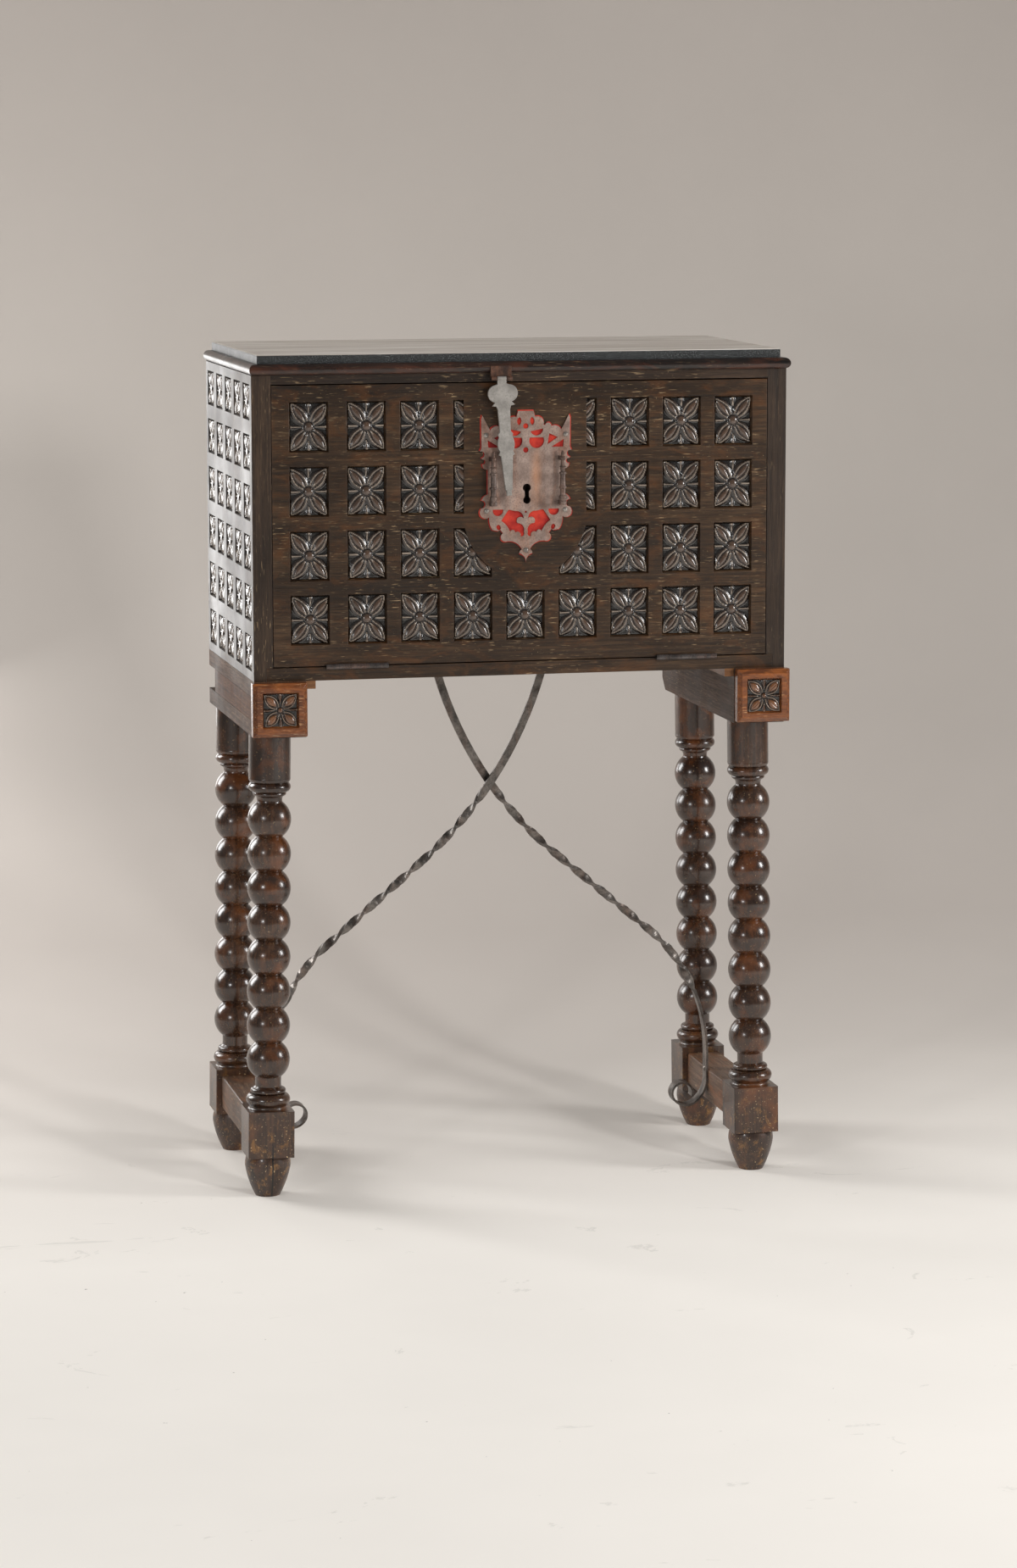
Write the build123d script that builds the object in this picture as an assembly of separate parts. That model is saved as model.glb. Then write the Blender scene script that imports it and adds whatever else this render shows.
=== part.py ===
from build123d import *
from math import asin, atan2, ceil, cos, degrees, hypot, radians, sin, sqrt, tan
import os

# A Spanish drop-front writing desk (vargueno) on a turned trestle stand.
# Millimetres, +Z up, the front towards -Y, left and right as seen from the front.
# The origin is on the floor, under the middle of the whole object.

# ---- clearances ----
board_gap = 0.8            # fall front to the side boards
edge_gap = 1.6             # fall front to the board above it and the board below it
running_gap = 0.3          # sliding pieces and pieces that only rest near each other
pin_gap = 0.05             # round pins in round holes
proud = 0.2                # a seat that stands just clear of a curved neighbour

# ---- case ----
case_width = 800.0
case_depth = 420.0
side_height = 444.0
side_thickness = 28.5
floor_thickness = 19.5
floor_housing = 10.0       # how far the floor board is let into each side
back_thickness = 12.0
top_thickness = 29.0
top_end_inset = 9.0
top_front_inset = 2.0
top_back_inset = 2.0
moulding_height = 16.0
moulding_reach = 13.0
rail_height = 13.4
rail_depth = 28.0
stop_width = 16.0
stop_depth = 12.0
cleat_width = 14.0
cleat_height = 12.0
cleat_length = 170.0

# ---- coffers: shallow sunk fields, each of which holds a carved rosette ----
coffer_depth = 6.0
coffer_slope = 2.0         # how much smaller the floor is than the mouth, on each side
front_columns = 9
front_rows = 4
front_coffer_width = 58.2
front_coffer_height = 73.0
front_column_pitch = 78.7
front_row_pitch = 93.4
front_first_gap = 6.0      # the leftmost column stands this much further out
front_coffer_lift = 3.5    # the pattern sits a little above the middle of the front
side_columns = 5
side_rows = 6
side_coffer_width = 58.0
side_coffer_height = 52.0
side_column_pitch = 82.0
side_row_pitch = 73.0
reserve_half_width = 91.9  # plain field around the lock
reserve_foot_half_width = 50.5
reserve_foot_drop = 30.0   # below the plate's tip
reserve_curve_drop = 10.0  # where its sides start to widen, below the plate's tip
reserve_curve_rise = 57.0  # where they stand upright again, above the plate's tip

# ---- fall front and its hinges ----
front_thickness = 26.0
hinge_x = 248.0
hinge_length = 92.0
hinge_leaf = 1.5
hinge_leaf_depth = 20.0
barrel_radius = 4.0
pin_radius = 1.6
hinge_knuckles = 5
knuckle_gap = 0.3

# ---- lock ----
lock_x = 4.5
plate_drop = 41.5          # top of the plate below the top of the front
plate_height = 220.0
plate_half_width = 68.5
velvet_thickness = 1.2
velvet_margin = 1.6
plate_thickness = 2.0
nail_radius = 4.0
nail_dome = 2.6            # height of a nail's head
keyhole_side = 1.5         # the keyhole sits a little to the right of the middle
keyhole_eye_radius = 6.0
keyhole_foot_radius = 5.6
keyhole_drop = 18.0        # foot of the keyhole below its eye
keyhole_stem_width = 6.6
keyhole_gap = 1.0          # how much wider the wood and the lock are cut than the plate
column_side = 51.8         # turned iron columns, each side of the lock's middle
column_out = 15.0          # axis of a column in front of the plate
column_height = 79.5
column_radius = 5.6
column_cap_height = 6.0    # square lugs that carry a column, at its foot and its head
column_lug_width = 7.0
lock_web = 5.0             # wood left between the lock case and the plate
lock_case_proud = 12.0
lock_wall = 3.0            # iron left behind the staple's slot
lock_case_side = 69.0      # from the lock's middle to the end of its case
lock_case_below = 30.0     # below the keyhole's eye
lock_case_above = 26.0     # above the staple
bolt_height = 8.0
bolt_thickness = 5.5
bolt_length = 44.0
bolt_travel = 11.0
bolt_wall = 3.0            # iron in front of the bolt
bolt_gap = 1.5             # between the drawn-back bolt and the staple's slot

# ---- hasp ----
hasp_x = -34.4
hasp_thickness = 3.5
hasp_length = 171.0
hasp_head_width = 44.6
hasp_neck = 9.2            # from the pivot to the round head
hasp_shoulder = 1.5        # rise of the head's shoulders towards the neck
hasp_lean = 3.7            # degrees that the old hasp hangs out of true
hasp_pivot_out = 16.5      # pivot in front of the case
hasp_pivot_rise = 7.0      # pivot above the top of the front
hasp_barrel_radius = 3.0
hasp_pin_radius = 1.3
hasp_leaf_width = 31.0
hasp_leaf_thickness = 2.2
hasp_knuckle_width = 14.0
hasp_edge = 0.7            # softened front edges
staple_drop = 99.2         # below the pivot
staple_radius = 2.2
staple_half_height = 9.0
staple_reach = 36.0
staple_gap = 1.2           # round the staple in its slot
staple_swing = 4.0         # room above and below it, for the arc that it swings through

# ---- stand ----
leg_length = 698.0
leg_front_y = 74.0         # axis of the front legs, behind the front of the case
leg_back_inset = 39.0      # axis of the back legs, in front of the back of the case
leg_foot_inset = 25.0      # foot and head of a leg's axis, inside the end of the case
leg_head_inset = 35.0
foot_height = 62.0
foot_radius = 34.2
foot_sole_radius = 18.5
block_width = 69.0
block_height = 70.0
ball_count = 8
ball_pitch = 51.65
ball_radius = 32.3
scotia_height = 6.0
base_ring_height = 17.0
base_ring_radius = 33.0
base_bead_height = 8.5
base_bead_radius = 26.5
low_neck_height = 16.7
high_neck_height = 10.0
collar_height = 6.0
collar_radius = 24.8
head_ring_height = 13.5
head_ring_radius = 31.4
head_radius = 31.0
tenon_radius = 14.0
tenon_length = 16.0
tenon_root = 4.0           # how far a tenon starts inside its leg
stretcher_width = 52.0
stretcher_height = 50.0
stretcher_drop = 9.0       # stretcher top below the top of the blocks
stretcher_tenon = 18.0
stretcher_shoulder = 14.0  # wood beside a tenon, on each side
stretcher_cheek = 9.0      # wood above and below a tenon
block_edge = 1.2           # softened edges of blocks and top board
stretcher_edge = 1.5
bearer_height = 82.5
bearer_width = 77.0
bearer_board = 15.0
bearer_foot_strip = 23.5
bearer_slope = 18.0        # cut off the lower back corner
loper_height = 34.5
loper_width = 61.0
loper_length = 366.0
loper_travel = 240.0
loper_block_thickness = 20.0
loper_block_width = 80.5
loper_block_height = 79.0
loper_block_overhang = 4.5
loper_block_bevel = 6.0
loper_block_border = 13.5  # from the block's edge to its sunk square

# ---- iron stays between the stand and the case ----
stay_top_x = 86.0
stay_offset = 7.0          # each stay, in front of or behind the middle of the stand
stay_width = 12.0
stay_thickness = 5.0
stay_end_width = 22.0
stay_end_thickness = 3.2
stay_top_heading = 14.0    # degrees from upright
stay_mid_heading = 50.0
stay_low_radius = 257.0
stay_upright_height = 150.0
stay_scroll_height = 108.0
stay_twist_start = 232.0   # along the stay
stay_twist_pitch = 96.0    # length of one full turn
stay_half_turns = 9.5
stay_tab = 34.0
stay_nail_radius = 4.5
stay_nail_dome = 2.4
stay_nail_drop = 28.0      # below the top of the stay's flat end
scroll_open_radius = 45.0  # the curl at the foot of a stay, from wide to tight
scroll_middle_radius = 24.0
scroll_tight_radius = 16.5

# ---- interior ----
nest_setback = 185.0       # front of the small drawers, behind the front of the case
nest_board = 10.0
nest_rows = 3
niche_width = 232.0
niche_shelf_height = 150.0
arch_thickness = 10.0
arch_border = 12.0
arch_rise = 26.0
drawer_face = 14.0
drawer_wall = 7.0
drawer_bottom = 6.0
drawer_wall_drop = 8.0     # walls below the top of the front
drawer_back_gap = 1.5
drawer_border = 16.0
drawer_border_depth = 3.0
drawer_travel = 125.0
knob_radius = 10.0
knob_length = 16.0

# ---- heights and planes that follow from these ----
case_bottom = leg_length + bearer_height
case_top = case_bottom + side_height
floor_top = case_bottom + floor_thickness
rail_bottom = case_top - rail_height
half_width = case_width / 2
inner_x = half_width - side_thickness
front_y = (loper_block_thickness + running_gap - case_depth) / 2
back_y = front_y + case_depth
back_inner_y = back_y - back_thickness
fall_bottom = floor_top + edge_gap
fall_top = rail_bottom - edge_gap
fall_half_width = inner_x - board_gap
hinge_y = front_y - barrel_radius - running_gap
hinge_z = floor_top + edge_gap / 2
block_top = foot_height + block_height
leg_foot_x = half_width - leg_foot_inset
leg_head_x = half_width - leg_head_inset
leg_axes_y = (front_y + leg_front_y, back_y - leg_back_inset)
splay = degrees(atan2(leg_foot_x - leg_head_x, leg_length))
bearer_inner_x = half_width - bearer_width
loper_bottom = leg_length + bearer_foot_strip
loper_top = loper_bottom + loper_height
loper_block_top = case_bottom - proud - running_gap
velvet_y = front_y - velvet_thickness
plate_y = velvet_y - plate_thickness
plate_tip_z = fall_top - plate_drop - plate_height
hasp_pivot_y = front_y - hasp_pivot_out
hasp_pivot_z = fall_top + hasp_pivot_rise
hasp_back_y = hasp_pivot_y + hasp_thickness / 2
hasp_neck_half = hasp_knuckle_width / 2 - 0.5
stretcher_top = block_top - stretcher_drop
stand_mid_y = sum(leg_axes_y) / 2
nest_y = front_y + nest_setback


def span(x, y, z):
    """Box between a low and a high value along each axis."""
    size = [high - low for low, high in (x, y, z)]
    middle = [(high + low) / 2 for low, high in (x, y, z)]
    return Pos(*middle) * Box(*size)


def both_sides(solid):
    """The solid and its mirror image on the other side of the object."""
    return [solid, mirror(solid, about=Plane.YZ)]


def edge_point(r, z):
    """Point of an outline that is turned about the Z axis."""
    return Vector(r, 0, z)


def turned(edges):
    """Solid of revolution about Z from the edges of its outline, bottom to top."""
    low = edges[0] @ 0
    high = edges[-1] @ 1
    axis_low = Vector(0, 0, low.Z)
    axis_high = Vector(0, 0, high.Z)
    closing = [Line(high, axis_high), Line(axis_high, axis_low), Line(axis_low, low)]
    return revolve(make_face(list(edges) + closing), axis=Axis.Z)


def upright_plate(sketch, y, thickness):
    """Flat plate in the XZ plane whose front is at y and which is thickness deep."""
    face_plane = Plane(origin=(0, y + thickness, 0), x_dir=(1, 0, 0), z_dir=(0, -1, 0))
    return extrude(face_plane * sketch, amount=thickness)


def write(name, *pieces):
    """Write one STEP file that holds the pieces as separate solids."""
    solids = [solid for piece in pieces for solid in Compound(piece.wrapped).solids()]
    shape = solids[0] if len(solids) == 1 else Compound(children=solids)
    export_step(shape, f"parts/{name}.step")


# ---- coffered boards ----

def coffer(width, height):
    """Cutter for one coffer, its mouth in the XY plane and its floor below."""
    mouth = Rectangle(width, height)
    bed = Rectangle(width - 2 * coffer_slope, height - 2 * coffer_slope)
    return loft([mouth, Pos(0, 0, -coffer_depth) * bed], ruled=True)


def grid(columns, rows, column_pitch, row_pitch):
    """Centres of a grid about the origin."""
    return [
        ((column - (columns - 1) / 2) * column_pitch, (row - (rows - 1) / 2) * row_pitch)
        for column in range(columns)
        for row in range(rows)
    ]


def side_board():
    """Right-hand side board with a housing for the floor board and coffers outside."""
    board = span(
        (inner_x, half_width), (front_y, back_y), (case_bottom, case_top)
    )
    board -= span(
        (inner_x, inner_x + floor_housing), (front_y, back_y), (case_bottom, floor_top)
    )
    outside = Plane(
        origin=(half_width, (front_y + back_y) / 2, (case_bottom + case_top) / 2),
        x_dir=(0, 1, 0),
        z_dir=(1, 0, 0),
    )
    cutter = coffer(side_coffer_width, side_coffer_height)
    places = grid(side_columns, side_rows, side_column_pitch, side_row_pitch)
    return board - [outside * Pos(u, v, 0) * cutter for u, v in places]


def lock_reserve():
    """Plain field round the lock, as a sketch drawn from the plate's tip."""
    head = fall_top - plate_tip_z
    low = (reserve_foot_half_width, -reserve_curve_drop)
    high = (reserve_half_width, reserve_curve_rise)
    middle = Vector((low[0] + high[0]) / 2, (low[1] + high[1]) / 2)
    bulge = middle + Vector(high[1] - low[1], low[0] - high[0]) * 0.1
    right = [
        Line((0, -reserve_foot_drop), (low[0], -reserve_foot_drop)),
        Line((low[0], -reserve_foot_drop), low),
        ThreePointArc(low, bulge, high),
        Line(high, (high[0], head)),
        Line((high[0], head), (0, head)),
        Line((0, head), (0, -reserve_foot_drop)),
    ]
    return placed(mirrored(make_face(right)))


def front_coffer_places():
    """Centres of the front's coffers from the lock's middle and the middle of the front."""
    places = grid(front_columns, front_rows, front_column_pitch, front_row_pitch)
    leftmost = min(u for u, v in places)
    return [
        (u - front_first_gap if u == leftmost else u, v + front_coffer_lift) for u, v in places
    ]


def fall_front():
    """Drop front: coffers outside, a mortise for the lock inside, slots through it."""
    panel = span(
        (-fall_half_width, fall_half_width),
        (front_y, front_y + front_thickness),
        (fall_bottom, fall_top),
    )
    middle_z = (fall_bottom + fall_top) / 2
    face = Plane(origin=(lock_x, front_y, middle_z), x_dir=(1, 0, 0), z_dir=(0, -1, 0))
    reserve = upright_plate(lock_reserve(), front_y - 1, coffer_depth + 2)
    cutter = coffer(front_coffer_width, front_coffer_height)
    for u, v in front_coffer_places():
        sunk = face * Pos(u, v, 0) * cutter
        near_lock = abs(u) < reserve_half_width + front_coffer_width / 2
        panel -= sunk - reserve if near_lock else sunk
    panel -= lock_case_envelope(running_gap)
    panel -= upright_plate(placed(keyhole(keyhole_gap)), front_y - 1, front_thickness)
    panel -= staple_slot(front_y - 1, front_y + front_thickness)
    for x in (-hinge_x, hinge_x):
        panel -= span(
            (x - hinge_length / 2 - proud, x + hinge_length / 2 + proud),
            (front_y - 1, front_y + hinge_leaf_depth + proud),
            (fall_bottom - 1, fall_bottom + hinge_leaf),
        )
    return panel


# ---- case ----

def floor_board():
    """Bottom board, let into both sides, with seats for the hinge leaves."""
    reach = inner_x + floor_housing
    board = span((-reach, reach), (front_y, back_y), (case_bottom, floor_top))
    for x in (-hinge_x, hinge_x):
        board -= span(
            (x - hinge_length / 2 - proud, x + hinge_length / 2 + proud),
            (front_y - 1, front_y + hinge_leaf_depth + proud),
            (floor_top - hinge_leaf, floor_top + 1),
        )
    return board


def top_board():
    """Top board with softened upper edges."""
    reach = half_width - top_end_inset
    board = span(
        (-reach, reach),
        (front_y + top_front_inset, back_y - top_back_inset),
        (case_top, case_top + top_thickness),
    )
    return chamfer(board.faces().sort_by(Axis.Z)[-1].edges(), block_edge)


def moulding_strip(length):
    """Half-round moulding along X, its back at y = 0 and its belly towards -Y."""
    shoulder = moulding_reach * 0.45
    outline = [
        Line((0, 0, 0), (0, -shoulder, 0)),
        ThreePointArc(
            (0, -shoulder, 0),
            (0, -moulding_reach, moulding_height / 2),
            (0, -shoulder, moulding_height),
        ),
        Line((0, -shoulder, moulding_height), (0, 0, moulding_height)),
        Line((0, 0, moulding_height), (0, 0, 0)),
    ]
    return Pos(-length / 2, 0, 0) * extrude(make_face(outline), amount=length, dir=(1, 0, 0))


def edge_moulding():
    """Mouldings round the front and both ends of the top board, mitred at the corners."""
    reach = half_width - top_end_inset
    corner_y = front_y + top_front_inset
    end_y = back_y - top_back_inset
    past = moulding_reach + 1
    strip = Pos(0, corner_y, case_top) * moulding_strip(2 * (reach + past))
    right = Pos(reach, (corner_y + end_y) / 2, case_top) * Rot(0, 0, 90)
    side = right * moulding_strip(end_y - corner_y + 2 * past)
    side &= span((0, half_width * 2), (corner_y - past, end_y), (case_top - 1, case_top + 99))
    wedge_outline = Polyline(
        (reach, corner_y), (reach + past, corner_y - past), (reach, corner_y - past), close=True
    )
    wedge = extrude(Pos(0, 0, case_top - 1) * make_face(wedge_outline), amount=99)
    beyond = span(
        (reach, reach + past + 1), (corner_y - past, corner_y), (case_top - 1, case_top + 99)
    )
    side -= wedge
    strip -= both_sides(beyond - wedge)
    return [strip] + both_sides(side)


def top_rail():
    """Strip under the front of the top board, which the fall front closes below."""
    return span((-inner_x, inner_x), (front_y, front_y + rail_depth), (rail_bottom, case_top))


def back_panel():
    """Back board between the sides."""
    return span((-inner_x, inner_x), (back_inner_y, back_y), (floor_top, case_top))


def front_stops():
    """Upright strips that the closed front rests against."""
    near = front_y + front_thickness + running_gap
    stop = span((inner_x - stop_width, inner_x), (near, near + stop_depth), (floor_top, case_top))
    stop -= top_rail()
    return both_sides(stop)


def case_cleats():
    """Strips under the case that keep it between the bearers of the stand."""
    outer = bearer_inner_x - running_gap
    cleat = span(
        (outer - cleat_width, outer),
        (front_y + top_front_inset, front_y + top_front_inset + cleat_length),
        (case_bottom - cleat_height, case_bottom),
    )
    return both_sides(cleat)


# ---- hinges of the fall front ----

def barrel(x, radius, length):
    """Cylinder along X on the axis of the fall front."""
    return Pos(x, hinge_y, hinge_z) * Rot(0, 90, 0) * Cylinder(radius, length)


def hinge_leaf_piece(x, moving):
    """One leaf with its knuckles, let into the board that it is nailed to."""
    low = fall_bottom if moving else floor_top - hinge_leaf
    pitch = hinge_length / hinge_knuckles
    leaf = span(
        (x - hinge_length / 2, x + hinge_length / 2),
        (front_y - running_gap / 2, front_y + hinge_leaf_depth),
        (low, low + hinge_leaf),
    )
    for knuckle in range(hinge_knuckles):
        if (knuckle % 2 == 1) != moving:
            continue
        middle = x + (knuckle - (hinge_knuckles - 1) / 2) * pitch
        width = pitch - knuckle_gap
        leaf += barrel(middle, barrel_radius, width)
        leaf += span(
            (middle - width / 2, middle + width / 2), (hinge_y, front_y), (low, low + hinge_leaf)
        )
    return leaf - barrel(x, pin_radius + pin_gap, hinge_length + 2)


def hinge_pin(x):
    """Pin through the knuckles of one hinge."""
    return barrel(x, pin_radius, hinge_length)


# ---- lock ----

def drawn(u, v):
    """Point of the lock plate from shares: u per mille of its half width, v of its height."""
    return (u / 1000 * plate_half_width, v / 1000 * plate_height)


def placed(sketch):
    """Move a sketch that is drawn from the plate's tip to where the plate is."""
    return Pos(lock_x, plate_tip_z) * sketch


def mirrored(sketch):
    """The sketch with its mirror image on the other side of the middle."""
    return sketch + mirror(sketch, about=Plane.YZ)


def keyhole_place():
    """Middle of the keyhole's eye, from the plate's tip."""
    return keyhole_side, drawn(0, 490)[1]


def keyhole(margin=0.0):
    """Keyhole: a round eye over a stem with a wider foot."""
    x, z = keyhole_place()
    eye = Pos(x, z) * Circle(keyhole_eye_radius + margin)
    stem = Pos(x, z - keyhole_drop / 2) * Rectangle(keyhole_stem_width + 2 * margin, keyhole_drop)
    foot = Pos(x, z - keyhole_drop) * Circle(keyhole_foot_radius + margin)
    return eye + stem + foot


def plate_outline(margin=0.0):
    """Scrolled outline of the plate, grown by a margin at its ends and sides."""
    wide = 1 + margin / plate_half_width
    tall = 1 + 2 * margin / plate_height

    def at(u, v):
        x, z = drawn(u, v)
        return (x * wide, plate_height / 2 + (z - plate_height / 2) * tall)

    def arc(first, middle, last):
        return ThreePointArc(at(*first), at(*middle), at(*last))

    def run(*points):
        return Polyline(*[at(*point) for point in points])

    edges = [
        arc((0, 0), (45, 36), (140, 54)),
        arc((140, 54), (132, 68), (88, 80)),
        arc((88, 80), (205, 122), (438, 134)),
        arc((438, 134), (546, 158), (500, 190)),
        run((500, 190), (555, 212), (610, 206), (725, 212)),
        arc((725, 212), (788, 252), (800, 298)),
        arc((800, 298), (985, 308), (960, 360)),
        arc((960, 360), (880, 385), (965, 410)),
        arc((965, 410), (900, 440), (830, 450)),
        run((830, 450), (830, 615)),
        arc((830, 615), (905, 620), (945, 650)),
        arc((945, 650), (880, 667), (950, 682)),
        run((950, 682), (965, 692)),
        arc((965, 692), (900, 712), (1000, 735)),
        run((1000, 735), (965, 760), (970, 950), (945, 972), (775, 872)),
        arc((775, 872), (672, 900), (556, 896)),
        arc((556, 896), (490, 920), (424, 902)),
        run((424, 902), (388, 908)),
        arc((388, 908), (365, 946), (205, 960)),
        run((205, 960), (168, 1000), (0, 1000), (0, 0)),
    ]
    return mirrored(make_face(edges))


def plate_piercings():
    """Everything that is sawn out of the right half of the plate, without its keyhole."""

    def arc(*points):
        return ThreePointArc(*[drawn(*point) for point in points])

    def run(*points):
        return Polyline(*[drawn(*point) for point in points])

    half_moon = [arc((88, 823), (234, 752), (388, 823)), run((388, 823), (88, 823))]
    small_moon = [arc((102, 864), (248, 836), (380, 882)), run((380, 882), (102, 864))]
    sickle = [
        arc((132, 960), (190, 932), (146, 905)),
        arc((146, 905), (95, 932), (132, 960)),
    ]
    kite = [run((512, 850), (702, 823), (475, 775), (512, 850))]
    wedge = [run((834, 811), (819, 759), (556, 759), (834, 811))]
    low_moon = [arc((497, 348), (607, 305), (724, 348)), run((724, 348), (497, 348))]
    flame = [
        run((380, 346), (219, 336)),
        arc((219, 336), (73, 314), (51, 286)),
        arc((51, 286), (176, 289), (183, 255)),
        arc((183, 255), (44, 227), (44, 196)),
        arc((44, 196), (73, 168), (117, 168)),
        arc((117, 168), (161, 198), (234, 191)),
        arc((234, 191), (293, 211), (344, 196)),
        arc((344, 196), (424, 241), (541, 273)),
        run((541, 273), (380, 346)),
    ]
    teardrop = [
        arc((556, 232), (614, 246), (636, 223)),
        arc((636, 223), (585, 211), (556, 232)),
    ]
    shapes = (half_moon, small_moon, sickle, kite, wedge, low_moon, flame, teardrop)
    return [make_face(shape) for shape in shapes]


def lock_plate():
    """Pierced iron plate nailed over the velvet."""
    sheet = plate_outline()
    for hole in plate_piercings():
        sheet -= mirrored(hole)
    sheet -= keyhole()
    for v, radius in ((330, nail_radius * 0.4), (741, nail_radius), (900, nail_radius)):
        sheet -= Pos(*drawn(0, v)) * Circle(radius)
    plate = upright_plate(placed(sheet), plate_y, plate_thickness)
    return plate - staple_slot(plate_y - 1, front_y)


def velvet_backing():
    """Cloth under the plate, cut a little larger than it."""
    cloth = plate_outline(velvet_margin) - keyhole(keyhole_gap)
    backing = upright_plate(placed(cloth), velvet_y, velvet_thickness)
    return backing - staple_slot(plate_y, front_y + 1)


def lock_column():
    """Turned iron baluster that stands free of the plate on two square lugs."""
    profile = [
        (0.95, 0.00), (1.00, 0.02), (1.00, 0.06), (0.82, 0.08), (0.98, 0.13), (0.98, 0.16),
        (0.72, 0.19), (0.74, 0.30), (0.98, 0.31), (0.98, 0.34), (0.74, 0.35), (0.66, 0.56),
        (0.92, 0.57), (0.92, 0.60), (0.58, 0.61), (0.66, 0.69), (0.92, 0.70), (0.60, 0.72),
        (0.52, 0.82), (0.70, 0.84), (0.70, 0.87), (0.40, 0.89), (0.46, 0.95), (0.25, 1.00),
    ]
    outline = Polyline(
        *[edge_point(column_radius * radius, column_height * height) for radius, height in profile]
    )
    half = column_lug_width / 2
    column = turned(outline.edges())
    for low in (0, column_height * 0.82):
        column += span((-half, half), (0, column_out), (low, low + column_cap_height))
    return column


def lock_columns():
    """Both balusters, one each side of the keyhole."""
    foot = plate_tip_z + drawn(0, 378)[1]
    return [
        Pos(lock_x + side * column_side, plate_y - column_out, foot) * lock_column()
        for side in (-1, 1)
    ]


def dome(radius, height, x, y, z):
    """Domed nail head that stands towards -Y on a face at y."""
    crown = (radius**2 + height**2) / (2 * height)
    cap = Pos(0, 0, height - crown) * Sphere(crown)
    cap &= span((-radius, radius), (-radius, radius), (0, height + 1))
    return Pos(x, y, z) * Rot(90, 0, 0) * cap


def plate_nails():
    """Domed nails through the plate."""
    places = [drawn(u, v) for u, v in ((-870, 842), (870, 842), (-862, 340), (862, 340), (0, 75))]
    return [
        dome(nail_radius, nail_dome, lock_x + x, plate_y, plate_tip_z + z) for x, z in places
    ]


def lock_case_envelope(gap):
    """Space that the lock case takes, with a gap all round."""
    low = plate_tip_z + keyhole_place()[1] - lock_case_below
    high = staple_z() + lock_case_above
    side = lock_case_side + gap
    return span(
        (lock_x - side, lock_x + side),
        (front_y + lock_web, front_y + front_thickness + lock_case_proud + gap),
        (low - gap, high + gap),
    )


def staple_x():
    """Where the leaning hasp carries its staple."""
    return hasp_x + staple_drop * tan(radians(hasp_lean))


def staple_z():
    """Height of the middle of the staple."""
    return hasp_pivot_z - staple_drop


def staple_slot(y_low, y_high):
    """Way for the staple, with room above and below it for the arc that it swings through."""
    reach = staple_half_height + staple_radius
    side = staple_radius + staple_gap
    low = staple_z() - reach - staple_swing
    high = staple_z() + reach + staple_swing
    return span((staple_x() - side, staple_x() + side), (y_low, y_high), (low, high))


def bolt_span(gap, extra):
    """Bolt, or with a gap and extra length the channel that it runs in."""
    left = staple_x() + staple_radius + staple_gap + bolt_gap
    y = front_y + lock_web + bolt_wall
    return span(
        (left - extra - gap, left + bolt_length + gap),
        (y - gap, y + bolt_thickness + gap),
        (staple_z() - bolt_height / 2 - gap, staple_z() + bolt_height / 2 + gap),
    )


def lock_case():
    """Iron lock box let into the inside of the front, with its bolt channel and slots."""
    box = lock_case_envelope(0)
    box -= staple_slot(front_y, front_y + front_thickness + lock_case_proud - lock_wall)
    box -= bolt_span(running_gap, bolt_travel + 1)
    box -= upright_plate(placed(keyhole(keyhole_gap)), front_y, front_thickness)
    return box


def lock_bolt():
    """Sliding bolt that shoots through the staple."""
    return bolt_span(0, 0)


# ---- hasp ----

def hasp_leaf():
    """Fixed leaf on the moulding, with the outer knuckles of the hasp's hinge."""
    back = front_y + top_front_inset - moulding_reach
    half = hasp_leaf_width / 2
    plate = span(
        (hasp_x - half, hasp_x + half),
        (back - hasp_leaf_thickness, back),
        (hasp_pivot_z + 1, case_top + moulding_height * 0.62),
    )
    web_top = hasp_pivot_z + hasp_barrel_radius
    for side in (-1, 1):
        inner = hasp_x + side * (hasp_knuckle_width / 2 + running_gap)
        outer = hasp_x + side * half
        low, high = sorted((inner, outer))
        plate += Pos((low + high) / 2, hasp_pivot_y, hasp_pivot_z) * Rot(0, 90, 0) * Cylinder(
            hasp_barrel_radius, high - low
        )
        plate += span((low, high), (hasp_pivot_y, back), (hasp_pivot_z, web_top))
    plate -= span(
        (hasp_x - hasp_knuckle_width / 2 - running_gap, hasp_x + hasp_knuckle_width / 2 + running_gap),
        (hasp_pivot_y - 9, back + 1),
        (hasp_pivot_z - 9, hasp_pivot_z + hasp_barrel_radius + running_gap),
    )
    return plate - hasp_round(hasp_pin_radius + pin_gap, hasp_leaf_width + 2)


def hasp_round(radius, length):
    """Cylinder along X on the axis of the hasp."""
    return Pos(hasp_x, hasp_pivot_y, hasp_pivot_z) * Rot(0, 90, 0) * Cylinder(radius, length)


def hasp_pin():
    """Pin of the hasp's hinge."""
    return hasp_round(hasp_pin_radius, hasp_leaf_width)


def hasp_outline():
    """Outline of the hasp below its pivot: round head, waist, spurred swelling, tapered tip."""
    neck = hasp_neck_half

    def at(u, v):
        wide = u / 1000 * hasp_head_width / 2
        return (wide, -hasp_neck - v / 1000 * (hasp_length - hasp_neck))

    def arc(*points):
        return ThreePointArc(*[at(*point) for point in points])

    def run(*points):
        return Polyline(*[at(*point) for point in points])

    right = [
        Polyline((0, -2), (neck, -2), (neck, hasp_shoulder - hasp_neck), at(490, 0)),
        arc((490, 0), (1000, 80), (560, 155)),
        run((560, 155), (765, 186), (495, 192), (418, 222), (370, 420), (515, 444), (450, 470)),
        arc((450, 470), (575, 530), (440, 600)),
        run((440, 600), (540, 630), (405, 639), (233, 951), (170, 951)),
        run((170, 951), (170, 1000), (0, 1000)),
        Line(at(0, 1000), (0, -2)),
    ]
    return mirrored(make_face([edge for line in right for edge in line.edges()]))


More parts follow.
